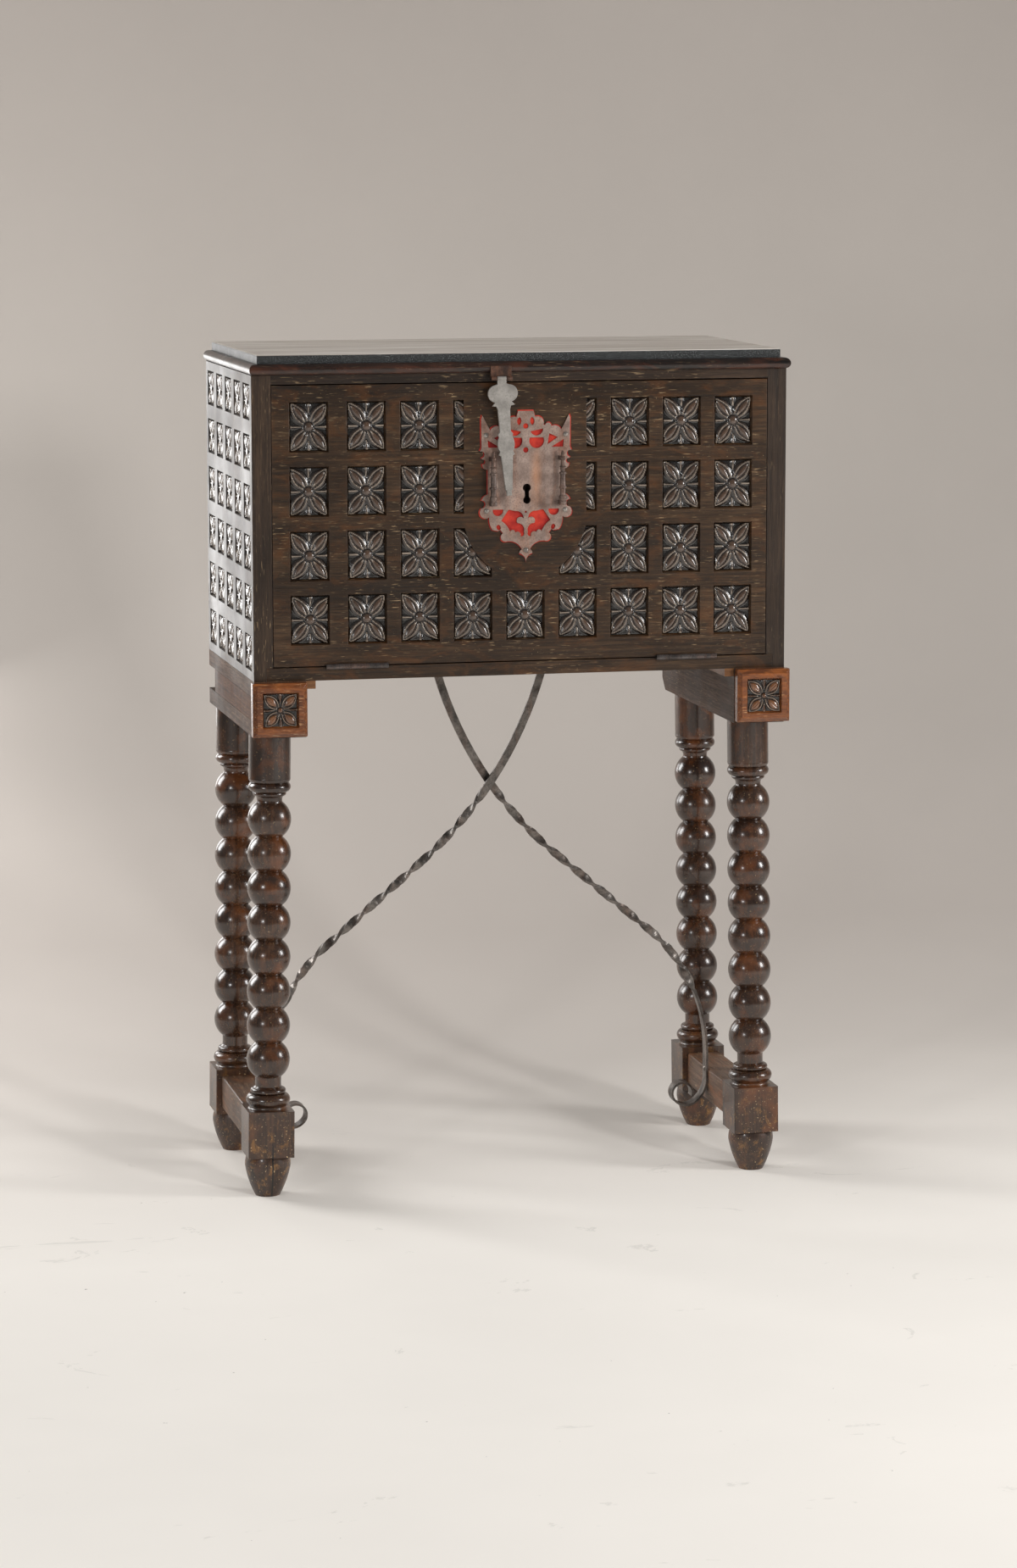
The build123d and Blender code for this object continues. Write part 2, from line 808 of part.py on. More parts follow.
def hasp():
    """Wrought strap that swings from the moulding, with its rolled knuckle and hooked tip."""
    face = Plane(origin=(hasp_x, hasp_back_y, hasp_pivot_z), x_dir=(1, 0, 0), z_dir=(0, -1, 0))
    strap = face * Rot(0, 0, hasp_lean) * extrude(hasp_outline(), amount=hasp_thickness)
    strap = chamfer(strap.faces().sort_by(Axis.Y)[0].edges(), hasp_edge)
    neck = hasp_neck_half
    strap += hasp_round(hasp_barrel_radius, 2 * neck)
    strap += span(
        (hasp_x - neck, hasp_x + neck),
        (hasp_pivot_y - hasp_thickness / 2, hasp_back_y),
        (hasp_pivot_z - hasp_neck, hasp_pivot_z),
    )
    return strap - hasp_round(hasp_pin_radius + pin_gap, hasp_leaf_width + 2)


def hasp_staple():
    """Looped staple riveted to the back of the hasp, which the bolt passes through."""
    tip = hasp_back_y + staple_reach - staple_radius
    h = staple_half_height
    bend = tip - h
    route = [
        Line((0, hasp_back_y, h), (0, bend, h)),
        ThreePointArc((0, bend, h), (0, tip, 0), (0, bend, -h)),
        Line((0, bend, -h), (0, hasp_back_y, -h)),
    ]
    section = Plane(origin=(0, hasp_back_y, h), z_dir=(0, 1, 0)) * Circle(staple_radius)
    return Pos(staple_x(), 0, staple_z()) * sweep(section, path=Wire([e.edge() for e in route]))


# ---- turned legs and stretchers ----

def leg_outline():
    """Edges of a leg's outline from below the floor to above its head."""
    core = stretcher_width / 2
    crease = sqrt(ball_radius**2 - (ball_pitch / 2) ** 2)
    edges = [
        Line(edge_point(foot_sole_radius, -2), edge_point(foot_sole_radius, 0)),
        ThreePointArc(
            edge_point(foot_sole_radius, 0),
            edge_point(foot_radius * 0.905, foot_height * 0.5),
            edge_point(foot_radius, foot_height * 0.74),
        ),
        ThreePointArc(
            edge_point(foot_radius, foot_height * 0.74),
            edge_point(foot_radius * 0.985, foot_height * 0.88),
            edge_point(foot_radius * 0.92, foot_height),
        ),
    ]
    z = block_top

    def to(r, height):
        edges.append(Line(edges[-1] @ 1, edge_point(r, height)))

    def bead(r, height, waist):
        start = edges[-1] @ 1
        top = edge_point(waist, start.Z + height)
        middle = edge_point(r, start.Z + height / 2)
        edges.append(ThreePointArc(start, middle, top))

    to(core, foot_height)
    to(core, z)
    to(base_ring_radius * 0.94, z)
    bead(base_ring_radius * 0.84, scotia_height, base_ring_radius * 0.86)
    bead(base_ring_radius, base_ring_height, base_bead_radius * 0.84)
    bead(base_bead_radius, base_bead_height, base_bead_radius * 0.84)
    z += scotia_height + base_ring_height + base_bead_height
    to(crease, z + 2.5)
    z += low_neck_height
    to(crease, z)
    for ball in range(ball_count):
        start = edges[-1] @ 1
        middle = edge_point(ball_radius, start.Z + ball_pitch / 2)
        edges.append(ThreePointArc(start, middle, edge_point(crease, start.Z + ball_pitch)))
    z += ball_count * ball_pitch
    neck = edge_point(crease * 0.98, z + high_neck_height * 0.5)
    edges.append(ThreePointArc(edges[-1] @ 1, neck, edge_point(crease * 1.12, z + high_neck_height)))
    to(collar_radius * 0.93, z + high_neck_height)
    bead(collar_radius, collar_height, collar_radius * 0.93)
    to(head_ring_radius * 0.86, z + high_neck_height + collar_height)
    bead(head_ring_radius, head_ring_height, head_ring_radius * 0.88)
    z += high_neck_height + collar_height + head_ring_height
    head = edge_point(head_radius * 0.975, z + 2.5)
    edges.append(ThreePointArc(edges[-1] @ 1, head, edge_point(head_radius, z + 7)))
    to(head_radius, leg_length + 4)
    return edges


def lean(solid):
    """Tilt an upright piece of the right-hand trestle to the splay of its legs."""
    return Pos(leg_foot_x, 0, 0) * Rot(0, -splay, 0) * solid


def leg_tenon(gap):
    """Round tenon on the head of a leg."""
    length = tenon_length + 2 * tenon_root
    peg = lean(Pos(0, 0, leg_length + length / 2 - tenon_root) * Cylinder(tenon_radius + gap, length))
    reach = (0, half_width * 2)
    return peg & span(reach, (-99, 99), (leg_length - tenon_root, leg_length + tenon_length + gap))


def stretcher_x():
    """Middle of the stretcher, on the slanting axis of the legs."""
    middle_z = stretcher_top - stretcher_height / 2
    return leg_foot_x - (leg_foot_x - leg_head_x) * middle_z / leg_length


def stretcher_ends():
    """Where the stretcher meets the blocks of the front and the back leg."""
    front, back = leg_axes_y
    return front + block_width / 2, back - block_width / 2


def stretcher_mortises(gap):
    """The stretcher's tenons, or with a gap the mortises for them."""
    middle_z = stretcher_top - stretcher_height / 2
    half_x = stretcher_width / 2 - stretcher_shoulder + gap
    half_z = stretcher_height / 2 - stretcher_cheek + gap
    x = (stretcher_x() - half_x, stretcher_x() + half_x)
    z = (middle_z - half_z, middle_z + half_z)
    low, high = stretcher_ends()
    front = (low - stretcher_tenon - gap, low + 1)
    back = (high - 1, high + stretcher_tenon + gap)
    return [span(x, front, z), span(x, back, z)]


def leg(y):
    """Right-hand leg on the axis at y: foot, square block, rings, balls and head in one piece."""
    square = Pos(0, 0, foot_height + block_height / 2) * Box(
        block_width, block_width, block_height
    )
    square = chamfer(square.edges().filter_by(Axis.Z), block_edge)
    body = lean(turned(leg_outline()) + square)
    body &= span((0, half_width * 2), (-99, 99), (0, leg_length))
    body += leg_tenon(0)
    return Pos(0, y, 0) * body - stretcher_mortises(pin_gap)


def stretcher():
    """Right-hand stretcher between the blocks of the front and the back leg."""
    beam = span(
        (stretcher_x() - stretcher_width / 2, stretcher_x() + stretcher_width / 2),
        stretcher_ends(),
        (stretcher_top - stretcher_height, stretcher_top),
    )
    beam = chamfer(beam.edges().filter_by(Axis.Y), stretcher_edge)
    for tenon in stretcher_mortises(0):
        beam += tenon
    return beam


# ---- bearers and the slides that carry the open front ----

def bearer_board_piece():
    """Inner board of the right-hand bearer, with a sloped lower back corner."""
    x = (bearer_inner_x, bearer_inner_x + bearer_board)
    board = span(x, (front_y, back_y), (leg_length, case_bottom))
    low_back = board.edges().filter_by(Axis.X).sort_by(lambda e: e.center().Z - e.center().Y)[0]
    return chamfer(low_back, bearer_slope)


def bearer_strip(z_low, z_high):
    """Strip outside the inner board, above or below the slide."""
    x = (bearer_inner_x + bearer_board, half_width)
    return span(x, (front_y, back_y), (z_low, z_high))


def bearer_strips():
    """Upper and lower strips, the lower one with sockets for the legs."""
    upper = bearer_strip(loper_top + running_gap, case_bottom)
    lower = bearer_strip(leg_length, loper_bottom - running_gap)
    for y in leg_axes_y:
        lower -= Pos(0, y, 0) * leg_tenon(pin_gap)
    return [upper, lower]


def loper_slide():
    """Right-hand slide, which runs out under the open front."""
    outer = half_width
    return span(
        (outer - loper_width, outer),
        (front_y - running_gap, front_y + loper_length),
        (loper_bottom, loper_top),
    )


def loper_block():
    """Carved block on the front of the right-hand slide, with a sunk square for its rosette."""
    outer = half_width + loper_block_overhang
    block = span(
        (outer - loper_block_width, outer),
        (front_y - running_gap - loper_block_thickness, front_y - running_gap),
        (loper_block_top - loper_block_height, loper_block_top),
    )
    block = chamfer(block.faces().sort_by(Axis.Y)[0].edges(), loper_block_bevel)
    middle = (outer - loper_block_width / 2, loper_block_top - loper_block_height / 2)
    face = Plane(
        origin=(middle[0], front_y - running_gap - loper_block_thickness, middle[1]),
        x_dir=(1, 0, 0),
        z_dir=(0, -1, 0),
    )
    sunk = coffer(
        loper_block_width - 2 * loper_block_border, loper_block_height - 2 * loper_block_border
    )
    return block - face * sunk


# ---- iron stays ----

def stay_end_x():
    """Middle of the stay's flat end against the inside of a stretcher."""
    return stretcher_x() - stretcher_width / 2 - stay_end_thickness / 2


def stay_lengths():
    """Radius of the upper bend and length of the straight run that make the stay meet its ends."""
    a = radians(stay_top_heading)
    b = radians(stay_mid_heading)
    across = stay_end_x() + stay_top_x - stay_low_radius * (1 - cos(b))
    down = case_bottom - stay_upright_height - stay_low_radius * sin(b)
    det = (cos(a) - cos(b)) * cos(b) - sin(b) * (sin(b) - sin(a))
    radius = (across * cos(b) - sin(b) * down) / det
    straight = ((cos(a) - cos(b)) * down - (sin(b) - sin(a)) * across) / det
    return radius, straight


def stay_point(s):
    """Place (x, z) and heading of the middle line at length s, and the length of its parts."""
    radius, straight = stay_lengths()
    a = radians(stay_top_heading)
    b = radians(stay_mid_heading)
    upper = radius * (b - a)
    lower = stay_low_radius * b
    heading = a + min(max(s, 0), upper) / radius
    x = -stay_top_x + radius * (cos(a) - cos(heading))
    z = case_bottom - radius * (sin(heading) - sin(a))
    if s > upper:
        run_length = min(s - upper, straight)
        x += run_length * sin(b)
        z -= run_length * cos(b)
    if s > upper + straight:
        turn = min((s - upper - straight) / stay_low_radius, b)
        heading = b - turn
        x += stay_low_radius * (cos(heading) - cos(b))
        z -= stay_low_radius * (sin(b) - sin(heading))
    return x, z, heading, upper + straight + lower


def stay_section(s):
    """Closed outline of the bar at length s, turned by the twist that it has there."""
    x, z, heading, total = stay_point(s)
    twist_end = stay_twist_start + stay_half_turns * stay_twist_pitch / 2
    along = min(max(s, stay_twist_start), twist_end) - stay_twist_start
    turn = radians(360 * along / stay_twist_pitch)
    share = min(max((s - twist_end) / (total - twist_end), 0), 1)
    width = stay_width + (stay_end_width - stay_width) * share
    thickness = stay_thickness + (stay_end_thickness - stay_thickness) * share
    across = Vector(cos(heading), 0, sin(heading))
    wide = across * cos(turn) + Vector(0, 1, 0) * sin(turn)
    thin = Vector(0, 1, 0) * cos(turn) - across * sin(turn)
    middle = Vector(x, 0, z)
    corners = [
        middle + wide * (i * width / 2) + thin * (j * thickness / 2)
        for i, j in ((1, 1), (-1, 1), (-1, -1), (1, -1))
    ]
    return Wire.make_polygon(corners, close=True)


def stay_stations():
    """Lengths at which the bar is sectioned: close together where it is twisted."""
    total = stay_point(0)[3]
    twist_end = stay_twist_start + stay_half_turns * stay_twist_pitch / 2
    spans = (
        (0.0, stay_twist_start, stay_twist_start / 10),
        (stay_twist_start, twist_end, stay_twist_pitch / 12),
        (twist_end, total, (total - twist_end) / 8),
    )
    stations = [0.0]
    for start, end, step in spans:
        count = ceil((end - start) / step - 0.001)
        stations += [start + (end - start) * (i + 1) / count for i in range(count)]
    return stations


def stay_scroll():
    """Flat end of the stay: down the stretcher, then curled inwards."""
    x = stay_end_x()
    start = (x, stay_upright_height)
    straight = Line(start, (x, stay_scroll_height))
    first = JernArc(straight @ 1, (0, -1), scroll_open_radius, arc_size=-55)
    second = JernArc(first @ 1, first % 1, scroll_middle_radius, arc_size=-90)
    third = JernArc(second @ 1, second % 1, scroll_tight_radius, arc_size=-235)
    ribbon = None
    for edge in (straight, first, second, third):
        piece = trace(edge, line_width=stay_end_thickness)
        ribbon = piece if ribbon is None else ribbon + piece
    face = Plane(origin=(0, stay_end_width / 2, 0), x_dir=(1, 0, 0), z_dir=(0, -1, 0))
    return extrude(face * ribbon, amount=stay_end_width)


def stay():
    """Stay that runs from the left under the case down to the right-hand stretcher."""
    bar = Solid.make_loft([stay_section(s) for s in stay_stations()], ruled=True)
    bar = Part(bar.wrapped) + stay_scroll()
    tab = span(
        (-stay_top_x - stay_width / 2, -stay_top_x + stay_width / 2),
        (-stay_thickness / 2, stay_tab),
        (case_bottom - stay_thickness, case_bottom),
    )
    start = span((-half_width, half_width), (-99, 99), (0, case_bottom))
    return (bar & start) + tab


def stays():
    """Both stays, one in front of the other where they cross."""
    rear = Pos(0, stand_mid_y + stay_offset, 0) * stay()
    front = Pos(0, stand_mid_y - stay_offset, 0) * Rot(0, 0, 180) * stay()
    return front, rear


def stay_nails():
    """Nail heads under the tabs and on the flat ends of the stays."""
    heads = []
    cap = Rot(-90, 0, 0) * dome(stay_nail_radius, stay_nail_dome, 0, 0, 0)
    inner = stay_end_x() - stay_end_thickness / 2
    for side in (-1, 1):
        tab_y = stand_mid_y - side * (stay_offset + stay_tab * 0.7)
        under = Pos(side * stay_top_x, tab_y, case_bottom - stay_thickness) * Rot(180, 0, 0)
        heads.append(under * cap)
        at_stretcher = Pos(
            -side * inner, stand_mid_y - side * stay_offset, stay_upright_height - stay_nail_drop
        )
        heads.append(at_stretcher * Rot(0, side * 90, 0) * cap)
    return heads


# ---- interior ----

def nest_partitions():
    """Uprights between the two banks of drawers and the middle niche."""
    inner = niche_width / 2
    return both_sides(
        span((inner, inner + nest_board), (nest_y, back_inner_y), (floor_top, case_top))
    )


def bank_row_height():
    """Clear height of one row of drawers."""
    clear = case_top - floor_top - (nest_rows - 1) * nest_board
    return clear / nest_rows


def bank_floor(row):
    """Height that the drawers of a row stand on."""
    return floor_top + row * (bank_row_height() + nest_board)


def bank_shelves():
    """Shelves between the rows of drawers on both sides."""
    x = (niche_width / 2 + nest_board, inner_x)
    shelves = []
    for row in range(1, nest_rows):
        high = bank_floor(row)
        shelves += both_sides(span(x, (nest_y, back_inner_y), (high - nest_board, high)))
    return shelves


def niche_shelf():
    """Shelf across the middle niche."""
    high = floor_top + niche_shelf_height
    x = (-niche_width / 2, niche_width / 2)
    return span(x, (nest_y + arch_thickness, back_inner_y), (high, high + nest_board))


def niche_arch():
    """Arched board over the mouth of the niche."""
    half = niche_width / 2
    spring = case_top - half - arch_rise
    board = span((-half, half), (nest_y, nest_y + arch_thickness), (spring, case_top))
    opening = Pos(0, nest_y + arch_thickness / 2, spring) * Rot(90, 0, 0)
    return board - opening * Cylinder(half - arch_border, arch_thickness + 2)


def drawer_bay(column, row):
    """Low and high values of the space that a drawer fills, with its running gap."""
    low_x = niche_width / 2 + nest_board + running_gap
    high_x = inner_x - running_gap
    x = (low_x, high_x) if column > 0 else (-high_x, -low_x)
    z = (bank_floor(row) + running_gap, bank_floor(row) + bank_row_height() - running_gap)
    return x, z


def drawer_front(column, row):
    """Drawer front with a raised field inside a bevelled border."""
    x, z = drawer_bay(column, row)
    face = span(x, (nest_y + drawer_border_depth, nest_y + drawer_face), z)
    field_x = (x[0] + drawer_border, x[1] - drawer_border)
    field_z = (z[0] + drawer_border, z[1] - drawer_border)
    return face + span(field_x, (nest_y, nest_y + drawer_face), field_z)


def drawer_box(column, row):
    """Bottom, back and sides of a drawer."""
    x, z = drawer_bay(column, row)
    y = (nest_y + drawer_face, back_inner_y - drawer_back_gap)
    wall_low = z[0] + drawer_bottom
    wall_high = z[1] - drawer_wall_drop
    inner_y = y[1] - drawer_wall
    return [
        span(x, y, (z[0], wall_low)),
        span((x[0], x[0] + drawer_wall), y, (wall_low, wall_high)),
        span((x[1] - drawer_wall, x[1]), y, (wall_low, wall_high)),
        span((x[0] + drawer_wall, x[1] - drawer_wall), (inner_y, y[1]), (wall_low, wall_high)),
    ]


def drawer_knob(column, row):
    """Turned knob on the middle of a drawer front."""
    x, z = drawer_bay(column, row)
    r = knob_radius
    outline = [
        Line(edge_point(r * 0.75, 0), edge_point(r * 0.7, 2)),
        Line(edge_point(r * 0.7, 2), edge_point(r * 0.4, knob_length * 0.3)),
        ThreePointArc(
            edge_point(r * 0.4, knob_length * 0.3),
            edge_point(r, knob_length * 0.62),
            edge_point(r * 0.3, knob_length),
        ),
    ]
    place = Pos(sum(x) / 2, nest_y, sum(z) / 2) * Rot(90, 0, 0)
    return place * turned(outline)


def fall_front_limit():
    """Angle in degrees at which the open front lies on the drawn-out slides."""
    dy = front_y - running_gap - loper_block_thickness - loper_travel - hinge_y
    dz = loper_block_top - hinge_z
    face_offset = front_y - hinge_y - running_gap
    return degrees(asin(face_offset / hypot(dy, dz)) + atan2(-dz, -dy)) + 90


def build():
    os.makedirs("parts", exist_ok=True)
    right_side = side_board()
    write("side_right", right_side)
    write("side_left", mirror(right_side, about=Plane.YZ))
    write("floor_board", floor_board())
    write("top_board", top_board())
    write("edge_moulding", *edge_moulding())
    write("top_rail", top_rail())
    write("back_panel", back_panel())
    write("front_stops", *front_stops())
    write("case_cleats", *case_cleats())

    write("fall_front", fall_front())
    write("hinge_leaves_fixed", *[hinge_leaf_piece(x, False) for x in (-hinge_x, hinge_x)])
    write("hinge_leaves_moving", *[hinge_leaf_piece(x, True) for x in (-hinge_x, hinge_x)])
    write("hinge_pins", hasp_pin(), *[hinge_pin(x) for x in (-hinge_x, hinge_x)])
    write("velvet_backing", velvet_backing())
    write("lock_plate", lock_plate())
    write("lock_columns", *lock_columns())
    write("plate_nails", *plate_nails())
    write("lock_case", lock_case())
    write("lock_bolt", lock_bolt())

    write("hasp_leaf", hasp_leaf())
    write("hasp", hasp())
    write("hasp_staple", hasp_staple())

    for row_name, y in zip(("front", "back"), leg_axes_y):
        right_leg = leg(y)
        write(f"leg_{row_name}_right", right_leg)
        write(f"leg_{row_name}_left", mirror(right_leg, about=Plane.YZ))
    for name, piece in (
        ("stretcher", stretcher()),
        ("bearer_board", bearer_board_piece()),
        ("loper_slide", loper_slide()),
        ("loper_block", loper_block()),
    ):
        write(f"{name}_right", piece)
        write(f"{name}_left", mirror(piece, about=Plane.YZ))
    write("bearer_strips", *[piece for strip in bearer_strips() for piece in both_sides(strip)])
    front_stay, rear_stay = stays()
    write("stay_front", front_stay)
    write("stay_rear", rear_stay)
    write("stay_nails", *stay_nails())

    write("nest_partitions", *nest_partitions())
    write("bank_shelves", *bank_shelves())
    write("niche_shelf", niche_shelf())
    write("niche_arch", niche_arch())
    for side_name, column in (("left", -1), ("right", 1)):
        for row in range(nest_rows):
            name = f"drawer_{side_name}_{row + 1}"
            write(f"{name}_front", drawer_front(column, row))
            write(f"{name}_box", *drawer_box(column, row))
            write(f"{name}_knob", drawer_knob(column, row))
    print("fall front opens to", round(fall_front_limit(), 2), "degrees")


build()
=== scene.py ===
"""Looks of a Spanish drop-front writing desk on a turned stand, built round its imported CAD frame."""
import math

import bpy
import numpy as np
from mathutils import Matrix, Vector


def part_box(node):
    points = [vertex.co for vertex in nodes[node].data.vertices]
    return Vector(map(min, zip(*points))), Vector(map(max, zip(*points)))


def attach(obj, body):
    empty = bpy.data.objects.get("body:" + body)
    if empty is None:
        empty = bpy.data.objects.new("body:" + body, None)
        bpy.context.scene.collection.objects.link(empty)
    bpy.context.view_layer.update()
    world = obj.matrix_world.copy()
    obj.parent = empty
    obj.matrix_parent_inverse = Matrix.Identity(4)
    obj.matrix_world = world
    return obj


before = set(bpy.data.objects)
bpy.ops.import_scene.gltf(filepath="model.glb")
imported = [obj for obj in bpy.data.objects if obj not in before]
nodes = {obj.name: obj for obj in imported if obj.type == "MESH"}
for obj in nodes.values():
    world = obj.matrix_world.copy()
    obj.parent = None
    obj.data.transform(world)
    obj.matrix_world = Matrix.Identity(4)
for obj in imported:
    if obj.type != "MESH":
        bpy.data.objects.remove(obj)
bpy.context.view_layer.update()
MM = 0.001
BEVEL_ANGLE = 35.0        # degrees; sharper edges than this are rounded
BEVEL_SEGMENTS = 2
WELD_DISTANCE = 0.00001   # metres

# ---- camera, as solved from the photograph ----
PHOTO_WIDTH = 1200
PHOTO_HEIGHT = 1850
FOCAL_PIXELS = 5182.0
CAMERA_PLACE = Vector((-1.4331, -6.4508, 1.5850))
CAMERA_YAW = 0.2221       # radians, turned towards +X
CAMERA_PITCH = -0.1497
CAMERA_ROLL = -0.00145
SENSOR_HEIGHT = 36.0
CLIP_END = 60             # metres, past the studio's wall

# ---- coffers, as in the CAD frame (millimetres) ----
COFFER_DEPTH = 6.0
COFFER_SLOPE = 2.0        # how much narrower the floor is than the mouth, on each side
FRONT_COFFERS = {"columns": 9, "rows": 4, "width": 58.2, "height": 73.0, "across": 78.7, "up": 93.4}
SIDE_COFFERS = {"columns": 5, "rows": 6, "width": 58.0, "height": 52.0, "across": 82.0, "up": 73.0}
FRONT_LIFT = 3.5          # the pattern's middle above the middle of the front
LOCK_X = 4.5              # middle of the pattern on the front
FIRST_GAP = 6.0           # the leftmost column stands this much further out
LOCK_COLUMNS = (4,)       # the column of coffers that the lock takes the place of
LOCK_ROWS = (1, 2, 3)
BLOCK_BORDER = 13.5       # frame round the sunk square of a loper block

# ---- places and sizes of painted marks (metres) ----
SLAB_REFLECTION_BAND = (1.2522, 1.2533)   # heights between which the top board turns pale with painted reflection
FOOT_WEAR = (0.16, 0.09)  # heights between which the legs' wear grows to its full strength
CRACK_X = -0.3705         # crack in the left front foot block
CRACK_TOP = 0.098
CRACK_LENGTH = 0.03
CRACK_WIDTH = 0.0012
CRACK_WOBBLE = 0.003
STREAK_FROM_LOCK = 0.015  # rust streak on the plate, right of the pattern's middle
STREAK_HALF_WIDTH = 0.011
STREAK_LOW = (1.02, 1.05)      # it fades in and out between these heights
STREAK_HIGH = (1.125, 1.1)

# ---- studio (metres) ----
FLOOR_NEAR = -14.0
BEND_START = 0.7          # the floor starts to curve up here, behind the desk
WALL_Y = 2.3
WALL_HEIGHT = 7.0
STAGE_HALF_WIDTH = 11.0
BEND_STEPS = 16
WALL_SHADE_TOP = 2.6       # height at which the wall's painted shade, darker upwards, is fullest
FLOOR_TO_WALL = (-0.5, 1.3)    # depths between which the pale floor's colour turns into the wall's darker one, painted shade for the light's fall-off
DIRT_FADE = (0.4, 0.0)    # dirt and scuffs grow from here to the front
WORLD_STRENGTH = 0.16


def srgb(red, green, blue):
    """Linear colour with alpha from 0-255 screen values."""
    linear = []
    for value in (red, green, blue):
        share = value / 255
        linear.append(share / 12.92 if share <= 0.04045 else ((share + 0.055) / 1.055) ** 2.4)
    return (*linear, 1.0)


# ---- node trees ----

class Shader:
    """Adds and joins the nodes of one material."""

    def __init__(self, name):
        self.material = bpy.data.materials.new(name)
        self.material.use_nodes = True
        self.tree = self.material.node_tree
        self.bsdf = self.tree.nodes["Principled BSDF"]
        self.place = self.add("ShaderNodeTexCoord").outputs["Object"]

    def add(self, kind):
        """New node of a kind."""
        return self.tree.nodes.new(kind)

    def feed(self, socket, value):
        """Set a socket, or join it to another node's output."""
        if isinstance(value, bpy.types.NodeSocket):
            self.tree.links.new(value, socket)
        else:
            socket.default_value = value

    def mapped(self, scale, offset=(0.0, 0.0, 0.0)):
        """Object coordinates in metres, scaled along each axis."""
        node = self.add("ShaderNodeMapping")
        self.tree.links.new(self.place, node.inputs["Vector"])
        node.inputs["Scale"].default_value = scale
        node.inputs["Location"].default_value = offset
        return node.outputs["Vector"]

    def coordinate(self, axis):
        """One object coordinate in metres."""
        node = self.add("ShaderNodeSeparateXYZ")
        self.tree.links.new(self.place, node.inputs["Vector"])
        return node.outputs[axis.upper()]

    def noise(self, vector, detail, roughness, distortion=0.0):
        """Noise whose size is set by the mapping that feeds it."""
        node = self.add("ShaderNodeTexNoise")
        self.tree.links.new(vector, node.inputs["Vector"])
        node.inputs["Scale"].default_value = 1.0
        node.inputs["Detail"].default_value = detail
        node.inputs["Roughness"].default_value = roughness
        node.inputs["Distortion"].default_value = distortion
        return node.outputs["Fac"]

    def ramp(self, factor, stops):
        """Colour ramp with (position, colour or grey) stops."""
        node = self.add("ShaderNodeValToRGB")
        ramp = node.color_ramp
        while len(ramp.elements) < len(stops):
            ramp.elements.new(0.5)
        for element, (position, colour) in zip(ramp.elements, stops):
            element.position = position
            element.color = colour if isinstance(colour, tuple) else (colour, colour, colour, 1.0)
        self.tree.links.new(factor, node.inputs["Fac"])
        return node.outputs["Color"]

    def between(self, value, low, high, first=0.0, last=1.0):
        """Value mapped from low..high to first..last, held at both ends."""
        node = self.add("ShaderNodeMapRange")
        self.tree.links.new(value, node.inputs["Value"])
        node.inputs["From Min"].default_value = low
        node.inputs["From Max"].default_value = high
        node.inputs["To Min"].default_value = first
        node.inputs["To Max"].default_value = last
        return node.outputs["Result"]

    def mix(self, factor, first, second, blend="MIX"):
        """Second colour over the first by a factor."""
        node = self.add("ShaderNodeMix")
        node.data_type = "RGBA"
        node.blend_type = blend
        self.feed(node.inputs["Factor"], factor)
        self.feed(node.inputs["A"], first)
        self.feed(node.inputs["B"], second)
        return node.outputs["Result"]

    def maths(self, operation, first, second=0.0, clamp=False):
        """One step of arithmetic on values or node outputs."""
        node = self.add("ShaderNodeMath")
        node.operation = operation
        node.use_clamp = clamp
        self.feed(node.inputs[0], first)
        self.feed(node.inputs[1], second)
        return node.outputs[0]

    def attribute(self, name):
        """Point attribute of the mesh, by name."""
        node = self.add("ShaderNodeAttribute")
        node.attribute_name = name
        return node.outputs["Fac"]

    def bump(self, height, distance, strength=1.0, below=None):
        """Normal from a height; distance is in metres."""
        node = self.add("ShaderNodeBump")
        node.inputs["Strength"].default_value = strength
        node.inputs["Distance"].default_value = distance
        self.tree.links.new(height, node.inputs["Height"])
        if below is not None:
            self.tree.links.new(below, node.inputs["Normal"])
        return node.outputs["Normal"]

    def finish(self, **sockets):
        """Set or join the Principled shader's sockets, named with underscores for spaces."""
        for name, value in sockets.items():
            self.feed(self.bsdf.inputs[name.replace("_", " ")], value)
        return self.material


AXES = {"x": 0, "y": 1, "z": 2}


def along(axis, lengthwise, across):
    """Mapping scale that is low along the grain and high across it."""
    scale = [across, across, across]
    scale[AXES[axis]] = lengthwise
    return tuple(scale)


def grain_tone(s, axis, shift):
    """Broad figure and fine grain of sawn wood, 0 to 1."""
    broad = s.noise(s.mapped(along(axis, 1.6, 11), shift), 5, 0.6, 0.6)
    grain = s.noise(s.mapped(along(axis, 7, 230), shift), 5, 0.65, 0.25)
    return broad, grain


def dash_mask(s, axis, shift, amount):
    """Short pale scratches along the grain, thick in some patches and rare elsewhere."""
    dashes = s.noise(s.mapped(along(axis, 55, 640), shift), 2, 0.5)
    dots = s.noise(s.mapped((330, 330, 330), shift), 2, 0.5)
    patches = s.noise(s.mapped(along(axis, 6, 13), shift), 4, 0.65)
    marks = s.maths(
        "MAXIMUM",
        s.ramp(dashes, ((0.63, 0.0), (0.72, 1.0))),
        s.ramp(dots, ((0.70, 0.0), (0.76, 1.0))),
    )
    shown = s.maths("MULTIPLY", marks, s.ramp(patches, ((0.42, 0.1), (0.64, 1.0))))
    return s.maths("MULTIPLY", shown, amount, clamp=True)


